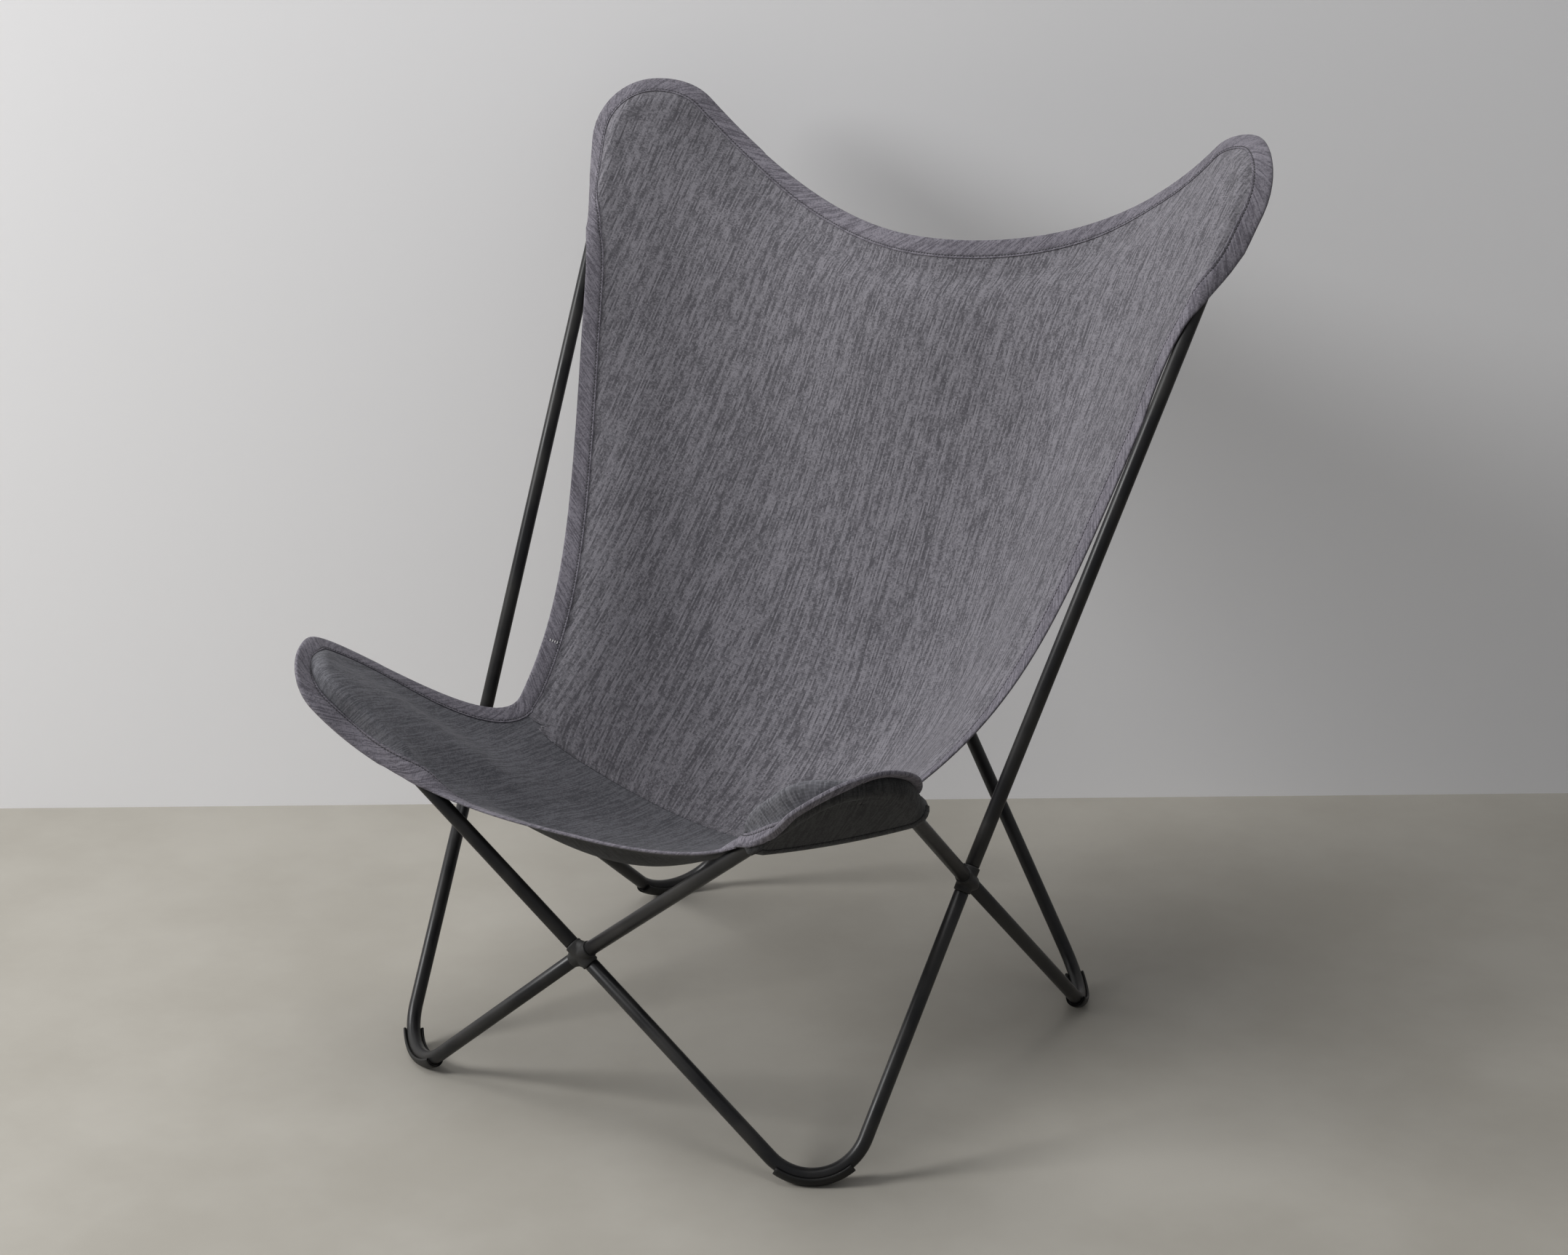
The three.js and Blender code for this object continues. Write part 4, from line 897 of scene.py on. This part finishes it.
def lay_flat(piece, low, high):
    """Lays the cloth flat as it was cut, in metres, with the line between two of its points along Y."""
    bpy.context.view_layer.objects.active = piece
    piece.data.uv_layers.new(name="cut")
    bpy.ops.object.select_all(action="DESELECT")
    piece.select_set(True)
    bpy.ops.object.mode_set(mode="EDIT")
    bpy.ops.mesh.select_all(action="SELECT")
    bpy.ops.uv.unwrap(method="CONFORMAL", margin=0.0)
    bpy.ops.object.mode_set(mode="OBJECT")
    mesh = piece.data
    flat = cut_map(mesh)
    corner = np.empty(len(mesh.loops), int)
    mesh.loops.foreach_get("vertex_index", corner)
    start, stop = (flat[np.nonzero(corner == k)[0][0]] for k in (low, high))
    way = stop - start
    size = math.sqrt(sum(p.area for p in mesh.polygons) / max(uv_area(mesh, flat), 1e-12))
    turn = math.pi / 2 - math.atan2(way[1], way[0])
    c, s = math.cos(turn), math.sin(turn)
    flat = (flat - start) @ np.array([[c, s], [-s, c]]) * size
    mesh.uv_layers["cut"].data.foreach_set("uv", flat.ravel())


def uv_area(mesh, flat):
    total = 0.0
    for p in mesh.polygons:
        q = flat[p.loop_start : p.loop_start + p.loop_total]
        x, y = q[:, 0], q[:, 1]
        total += abs(np.dot(x, np.roll(y, -1)) - np.dot(y, np.roll(x, -1))) / 2
    return total


def thickened(piece, underside=None):
    body = piece.modifiers.new("cloth_thickness", "SOLIDIFY")
    if underside:
        piece.data.materials.append(underside)
        body.material_offset = 1
    body.thickness, body.offset, body.use_even_offset = CLOTH_T * 0.001, 0.0, False


# Seat panel, and the back panel lapped over it along the seam
seat_points, seat_grid, seat_bands, _, seat_beside = panel_mesh(seat_rim, seat_sheet)
seat_faces = strips(seat_grid[::-1]) + strips(seat_bands[::-1])
seat_points = relaxed(seat_points, seat_faces, seat_grid, seat_bands, firm=33)
seat_panel = add_piece(
    "seat_panel_cloth", seat_points, seat_faces, seat_cloth_painted_shade, "sling_cloth", "sling_seat_panel")
lay_flat(seat_panel, int(seat_grid[0, ACROSS // 2]), int(seat_grid[-1, ACROSS // 2]))
# The seat's underside is drawn in the near-black cloth: painted shade.
thickened(seat_panel, underside=underside_painted_shade)

back_points, back_grid, back_bands, back_edge, back_beside = panel_mesh(back_rim, back_sheet)
back_points = relaxed(back_points, strips(back_grid) + strips(back_bands), back_grid, back_bands, firm=22)
seam_points = back_points[back_edge]
ahead = unit(seat_points[seat_beside] - seam_points)
seam_way = np.gradient(seam_points, axis=0)
seam_up = unit(np.cross(ahead, seam_way))
seam_up *= np.sign(seam_up[:, 2:3])
mid_count = len(seam_points) - 2 * (len(RINGS) - 1)
from_rim = np.r_[RINGS[:-1], np.full(mid_count, RINGS[-1]), RINGS[-2::-1]]
lap_lift = LAP_LIFT * ease((from_rim - LAP_RISE["starts"]) / LAP_RISE["run"])[:, None]
back_points[back_edge] += seam_up * lap_lift
back_points[back_beside] += seam_up * lap_lift * LAP_RISE["beside"]
lap_rows = [back_edge]
count = len(back_points)
for reach in (1.5, 5.0, 9.0, LAP_W - LAP_RISE["edge"], LAP_W):
    drop = LAP_RISE["drop"] if reach == LAP_W else 0.0
    row = seam_points + ahead * reach + seam_up * np.maximum(lap_lift - drop, 0)
    back_points = np.concatenate([back_points, row])
    lap_rows.append(np.arange(count, count + len(row)))
    count += len(row)
lap_rows = np.array(lap_rows)[:, from_rim >= LAP_FROM_RIM]
back_faces = strips(back_grid[::-1]) + strips(back_bands[::-1]) + strips(lap_rows)
back_panel = add_piece(
    "back_panel_cloth", back_points, back_faces, back_cloth, "sling_cloth", "sling_back_panel")
lay_flat(back_panel, int(back_grid[0, ACROSS // 2]), int(back_grid[-1, ACROSS // 2]))
thickened(back_panel)


# Binding
def whole_rim(halves):
    """What two halves hold along the whole rim, as one loop from the left notch round back and seat."""
    back, seat = (round_panel(*halves, *runs) for runs in (BACK_RUNS, FRONT_RUNS))
    return np.concatenate([back[:-1], seat[::-1][:-1]])


loop = whole_rim((left_rings, right_rings))
loop_way = np.roll(loop, -1, 0) - np.roll(loop, 1, 0)
loop_up = unit(np.cross(np.gradient(loop, RINGS, axis=1), loop_way))
loop_lengths = lengths_of(np.concatenate([loop[:, 0], loop[:1, 0]]))
in_pocket = [{run: lengths_of(rings[:, 0]) <= POCKET_REACH[run] for run, rings in half.items()}
             for half in (left_rings, right_rings)]
doubled = whole_rim(in_pocket).astype(float)


def on_loop(reach):
    """Points at a length inward of the rim, all round, and the way the cloth faces at each."""
    k = int(np.clip(np.searchsorted(RINGS, reach) - 1, 0, len(RINGS) - 2))
    t = (reach - RINGS[k]) / (RINGS[k + 1] - RINGS[k])
    up = unit(loop_up[:, k] * (1 - t) + loop_up[:, k + 1] * t)
    return loop[:, k] * (1 - t) + loop[:, k + 1] * t, up


def lay_strip(piece, s, girth):
    """Lays a strip straight on its "cut" map, length along X and girth along Y, but not its end caps."""
    laid = [((s[i], girth[j]), (s[i], girth[j + 1]), (s[i + 1], girth[j + 1]), (s[i + 1], girth[j]))
            for i in range(len(s) - 1) for j in range(len(girth) - 1)]
    flat = np.zeros((len(piece.data.loops), 2))
    flat[: len(laid) * 4] = np.array(laid).reshape(-1, 2) * 0.001
    piece.data.uv_layers.new(name="cut").data.foreach_set("uv", flat.ravel())


def girth_of(section):
    return np.r_[0, np.cumsum([math.dist(a, b) for a, b in zip(section, section[1:] + section[:1])])]


def binding():
    """Bias tape folded round the whole rim: broad and stitched down on the sitter's side, narrow behind."""
    face = [(TAPE_W - 0.1, 0.56), (TAPE_W + 0.15, 1.05), (TAPE_W - 0.25, 1.55), (TAPE_W - 1.0, 1.6)]
    face += [(TAPE_W - 1.9, 1.2), (TAPE_W - STITCH_IN, 0.85), (TAPE_W - 3.1, 1.2), (TAPE_W - 4.4, 1.6)]
    face += [(11.0, 1.7), (7.5, 1.68), (4.0, 1.66), (1.8, 1.58)]
    turn = [(0.3 - 1.75 * math.cos(a), 1.55 * math.sin(a)) for a in np.radians([62, 35, 10, -10, -35, -62])]
    behind = [(1.8, -1.58), (4.0, -1.6), (TAPE_BACK_W - 0.6, -1.45), (TAPE_BACK_W, -1.1)]
    lining = [(TAPE_BACK_W - 0.1, -0.58), (2.0, -0.58), (-0.35, -0.5), (-0.35, 0.5), (2.0, 0.58), (9.0, 0.58)]
    section = face + turn + behind + lining
    s, whole = loop_lengths[:-1], loop_lengths[-1]
    phases = np.random.default_rng(7).uniform(0, 6, len(PUCKERS))
    pucker = sum(a * np.sin(2 * math.pi * s / whole * n + p) for (n, a), p in zip(PUCKERS, phases))
    inward = unit(loop[:, 2] - loop[:, 0])
    points = []
    for across, height in section:
        p, up = on_loop(max(across, 0))
        lift = np.full(len(loop), height)
        if height > 1.0:
            lift = lift + pucker * min(1, across / 6) * (1 if across < TAPE_W - 3.3 else 0.3)
        if height < -0.4:
            lift = lift - POCKETED_BEHIND * doubled
        out = np.minimum(across, 0) - (POCKETED_OUT * doubled if across < 1 else 0)
        points.append(p + up * lift[:, None] + inward * np.broadcast_to(out, len(loop))[:, None])
    points = np.stack(points, 1).reshape(-1, 3)
    rows = np.arange(len(points)).reshape(len(loop), len(section))
    faces = strips(np.concatenate([rows, rows[:1]]), True)
    piece = add_piece("edge_binding_tape", points, faces, tape_cloth, "binding_tape", "edge_binding")
    lay_strip(piece, loop_lengths, girth_of(section))
    return piece


tape = binding()


def stitches(name, line, up, finish, slot, pitch, size, thick, closed=False):
    """Row of separate stitches along a line: short rounded threads that dip into the cloth at either end."""
    if closed:
        line, up = np.concatenate([line, line[:1]]), np.concatenate([up, up[:1]])
    middles = np.arange(pitch / 2, lengths_of(line)[-1] - pitch / 2, pitch)
    points, faces = [], []
    sides = 6
    profile = [(-0.5, 0.35, -0.55), (-0.32, 0.9, 0.1), (0.0, 1.0, 0.3), (0.32, 0.9, 0.1), (0.5, 0.35, -0.55)]
    centre = along(line, middles)
    ahead_of = unit(along(line, middles + 0.6) - along(line, middles - 0.6))
    top = unit(along(line, middles, up))
    wide = unit(np.cross(ahead_of, top))
    for m in range(len(middles)):
        faces += capped(len(profile), sides, len(points))
        ways = circle(wide[m] * 1.15, top[m], sides)
        for along_part, fat, rise in profile:
            hub = centre[m] + ahead_of[m] * size * along_part + top[m] * rise * thick
            points += list(hub + thick * fat * 0.5 * ways)
    return add_piece(name, np.array(points), faces, finish, slot)


stitch_line, stitch_up = on_loop(TAPE_W - STITCH_IN)
stitch_line = stitch_line + stitch_up * STITCH_RISE
binding_thread = stitches(
    "binding_stitches", stitch_line, stitch_up, dark_thread, "binding_tape", closed=True, **BINDING_STITCH)
inside = from_rim >= SEAM_STITCH_FROM_RIM
lap_top = (seam_points + ahead * (LAP_W - 2.0) + seam_up * (LAP_LIFT + CLOTH_T / 2 - 0.05))[inside]
seam_thread = [stitches("seam_stitches", lap_top, seam_up[inside], dark_thread, "sling_cloth", **SEAM_STITCH)]

# Tack in pale thread across the binding above the left notch
tack_at = int(np.searchsorted(loop_lengths[:-1], TACK_UP))
tack = []
for number, reach in enumerate(TACK_FROM_RIM, 1):
    line, up = on_loop(reach)
    line = line + up * TACK_RISE
    half = unit(line[tack_at + 1] - line[tack_at - 1]) * TACK_HALF_L
    ends, up = np.array([line[tack_at] - half, line[tack_at] + half]), up[[tack_at, tack_at]]
    tack.append(stitches(f"edge_tack_{number}", ends, up, pale_thread, "binding_tape", **TACK_STITCH))


# Corner pockets
def pocket_hem(name, rows, outside, finish):
    """Hem turned up along a pocket's free edge, with its row of stitches."""
    way = np.gradient(rows[1], axis=0)
    out = unit(np.cross(way, rows[2] - rows[0]))
    out *= np.sign(out[len(out) // 2] @ outside)
    inward = unit(rows[2] - rows[0])
    section = [(-0.5, 0.4), (-0.75, 0.9), (-0.3, 1.4), (4.0, 1.5), (8.4, 1.42), (8.9, 1.0), (8.8, 0.4)]
    points = np.stack([rows[0] + inward * across + out * high for across, high in section], 1)
    faces = capped(len(rows[0]), len(section))
    band = add_piece(name + "_hem", points.reshape(-1, 3), faces, finish, "sling_cloth")
    lay_strip(band, lengths_of(rows[0]), girth_of(section))
    line = rows[0] + inward * 7.0 + out * 1.5
    return [band, stitches(name + "_hem_stitches", line, out, dark_thread, "sling_cloth", **HEM_STITCH)]


def corner_pocket(name, node_name, half, side_run, middle_run, steps=34, columns=14):
    """Second layer bound into the rim, drawn round the tube to its underside and hemmed from leg to leg."""
    lines, flip = (left_lines, LEFT) if half == "left" else (right_lines, np.ones(3))
    hang = TUBE_R + TUBE_TO_CLOTH + CLOTH_T / 2
    rows = []
    for run in (side_run, middle_run):
        wing, line, inward = lines[run]
        parts = np.linspace(0, POCKET_REACH[run] / lengths_of(line)[-1], steps + 1)
        rings = rings_inward(wing, line, parts, inward, run, 0)
        rim, across = rings[:, 0], unit(rings[:, 4] - rings[:, 0])
        axis, outward, _, _ = wing.beside(rim)
        up = np.cross(across, unit(np.gradient(rim, axis=0)))
        up = unit(up * np.sign(dot(up, wing.up))[:, None])
        rim = rim - up * (CLOTH_T + POCKET_GAP)
        bound = rim + across * (TAPE_BACK_W + 1)
        out, high = dot(bound - axis, outward), (bound - axis) @ wing.up
        start, reach = np.arctan2(high, out), np.hypot(out, high)
        row = [rim, rim + across * 3.5, bound]
        for t in np.linspace(0, 1, 12)[1:]:
            angle = start + (-math.pi / 2 - start) * t
            radius = reach + (hang - reach) * ease(t * 1.15)
            row.append(wing.from_tube(axis, outward, radius * np.cos(angle), radius * np.sin(angle)))
        for far in (3.0, hang):
            row.append(wing.from_tube(axis, outward, np.full(len(rim), -far), np.full(len(rim), -hang)))
        rows.append(np.stack(row, 1))
    wall = np.concatenate([rows[0][::-1], rows[1][1:]])
    points = [wall.reshape(-1, 3)]
    number = np.arange(len(wall) * wall.shape[1]).reshape(len(wall), -1)
    count = number.size
    rungs = []
    for i in range(steps, 0, -1):
        a, b = number[steps - i, -1], number[steps + i, -1]
        start, stop = wall[steps - i, -1], wall[steps + i, -1]
        t = np.linspace(0, 1, columns + 1)[1:-1, None]
        sag = -wing.up * (np.linalg.norm(stop - start) * POCKET_SAG * 4 * t * (1 - t))
        points.append(start * (1 - t) + stop * t + sag)
        rungs.append([a, *range(count, count + columns - 1), b])
        count += columns - 1
    rungs.append([number[steps, -1]] * (columns + 1))
    points = np.concatenate(points) * flip
    faces = [f for f in strips(number) + strips(rungs) if len(f) > 2]
    if half == "left":
        faces = [f[::-1] for f in faces]
    # Front pockets and their hems are drawn in the near-black cloth, painted shade; back pockets in the plain grey
    # cloth.
    finish = underside_painted_shade if middle_run == "front" else pocket_cloth
    piece = add_piece(name, points, faces, finish, "sling_cloth", node_name)
    lay_flat(piece, int(rungs[0][columns // 2]), int(number[steps, 2]))
    thickened(piece)
    rows = [points[[*number[k, 6:], *rungs[k][1:-1], *number[-1 - k, 6:][::-1]]] for k in range(3)]
    return piece, pocket_hem(name, rows, -wing.up * flip, finish)


pockets = {}
for half in ("left", "right"):
    for end, runs in (("back", BACK_RUNS), ("front", FRONT_RUNS)):
        name = f"corner_pocket_{end}_{half}"
        pockets[name] = corner_pocket(name + "_cloth", name, half, *runs)


def cut_size(piece):
    """What a piece of cloth was cut to, in metres: its width, length and area laid flat."""
    width, length = np.ptp(cut_map(piece.data), axis=0)
    area = sum(p.area for p in piece.data.polygons)
    return dict(flat=(float(width), float(length)), area=float(area))


ends = [(end, half) for end in ("front", "back") for half in ("left", "right")]
wing_tips = {(end, half): f"wing_tube_{end}_{half}_painted" for end, half in ends}
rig.sheet(back_panel, held="stretched", rests_on=list(wing_tips.values()), with_pieces=seam_thread,
         **cut_size(back_panel))
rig.sheet(seat_panel, held="stretched", rests_on=list(wing_tips.values()), **cut_size(seat_panel))
for name, (piece, hem) in pockets.items():
    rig.sheet(piece, held="stretched", rests_on=[wing_tips[tuple(name.split("_")[2:])]], with_pieces=hem,
             **cut_size(piece))
rim_length = float(loop_lengths[-1]) * 0.001
tape_width = (TAPE_W + TAPE_BACK_W + TAPE_FOLD_W) * 0.001
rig.sheet(tape, flat=(tape_width, rim_length), held="folded", rests_on=[back_panel, seat_panel],
         with_pieces=[binding_thread, *tack])

# Camera where the photograph was taken from
right = np.array([math.cos(AZIMUTH), math.sin(AZIMUTH), 0])
away = np.array([-math.sin(AZIMUTH), math.cos(AZIMUTH), 0])
ahead_way = away * math.cos(ELEVATION) - np.array([0, 0, math.sin(ELEVATION)])
down = np.cross(ahead_way, right)
image_right = math.cos(ROLL) * right + math.sin(ROLL) * down
image_down = -math.sin(ROLL) * right + math.cos(ROLL) * down
camera = put_in("camera", bpy.data.cameras.new("camera"))
camera.data.sensor_fit = "HORIZONTAL"
camera.data.sensor_width = SENSOR_W
camera.data.lens = FOCAL_PX / PHOTO_W * SENSOR_W
camera.data.clip_start, camera.data.clip_end = 0.05, 60
turned_to = np.stack([image_right, -image_down, -ahead_way], 1)
where = (CAMERA_AT - SHIFT) * 0.001
camera.matrix_world = Matrix.Translation(Vector(where)) @ Matrix(turned_to.tolist()).to_4x4()
bpy.context.scene.camera = camera


# Floor and wall
def stage_plane(name, corners, finish):
    mesh = bpy.data.meshes.new(name)
    mesh.from_pydata(corners, [], [(0, 1, 2, 3)])
    mesh.materials.append(finish)
    plane = put_in(name, mesh)
    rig.stage(plane)


def one_sided(tree, skin):
    """Lets the room be looked into from behind its wall and from under its floor."""
    from_behind = node(tree, "NewGeometry").outputs["Backfacing"]
    see_through = node(tree, "BsdfTransparent").outputs[0]
    shown = node(tree, "MixShader", {0: from_behind, 1: skin.outputs[0], 2: see_through})
    tree.links.new(shown.outputs[0], tree.nodes["Material Output"].inputs[0])


floor_finish, tree, skin = new_finish("plain_pale_floor")
place = node(tree, "TexCoord").outputs["Object"]
mottle = spread(tree, noise(tree, place, 3.0, 5.0, 0.6), 0.3, 0.7)
pale = mixed(tree, mottle, (0.33, 0.31, 0.27, 1), (0.38, 0.36, 0.32, 1))
feed(tree, skin, {"Base Color": pale, "Roughness": 0.75})
one_sided(tree, skin)
corners = [(-1, -1), (1, -1), (1, 1), (-1, 1)]
stage_plane("floor", [(x * FLOOR_HALF, y * FLOOR_HALF, 0) for x, y in corners], floor_finish)

wall_finish, tree, skin = new_finish("plain_pale_wall")
feed(tree, skin, {"Base Color": (0.8, 0.795, 0.805, 1), "Roughness": 0.9})
one_sided(tree, skin)
wall = [away * WALL_AWAY - right * WALL_HALF_W, away * WALL_AWAY + right * WALL_HALF_W]
wall += [p + np.array([0, 0, WALL_H]) for p in wall[::-1]]
stage_plane("wall", [tuple(p) for p in wall], wall_finish)


# Soft light, mostly from the left and above
def soft_lamp(name, at, to, size, power):
    lamp = bpy.data.lights.new(name, "AREA")
    lamp.shape, lamp.size, lamp.energy = "DISK", size, power
    made = put_in(name, lamp)
    made.location = at
    made.rotation_euler = (Vector(to) - Vector(at)).to_track_quat("-Z", "Y").to_euler()


soft_lamp("key", (-2.3, -2.4, 2.1), (0, 0, 0.5), 1.2, 98)
soft_lamp("overhead", (-0.2, -0.4, 3.3), (0, 0, 0.3), 2.0, 40)
world = bpy.data.worlds.new("room")
world.use_nodes = True
sky = world.node_tree
feed(sky, sky.nodes["Background"], {"Color": (0.95, 0.97, 1.0, 1), "Strength": 0.29})
bpy.context.scene.world = world
bpy.context.scene.view_settings.view_transform = "Standard"

low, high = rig.bounds()
with open("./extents.json", "w") as sizes:
    json.dump({"cad": [list(cad_low), list(cad_high)], "visual": [list(low), list(high)]}, sizes)
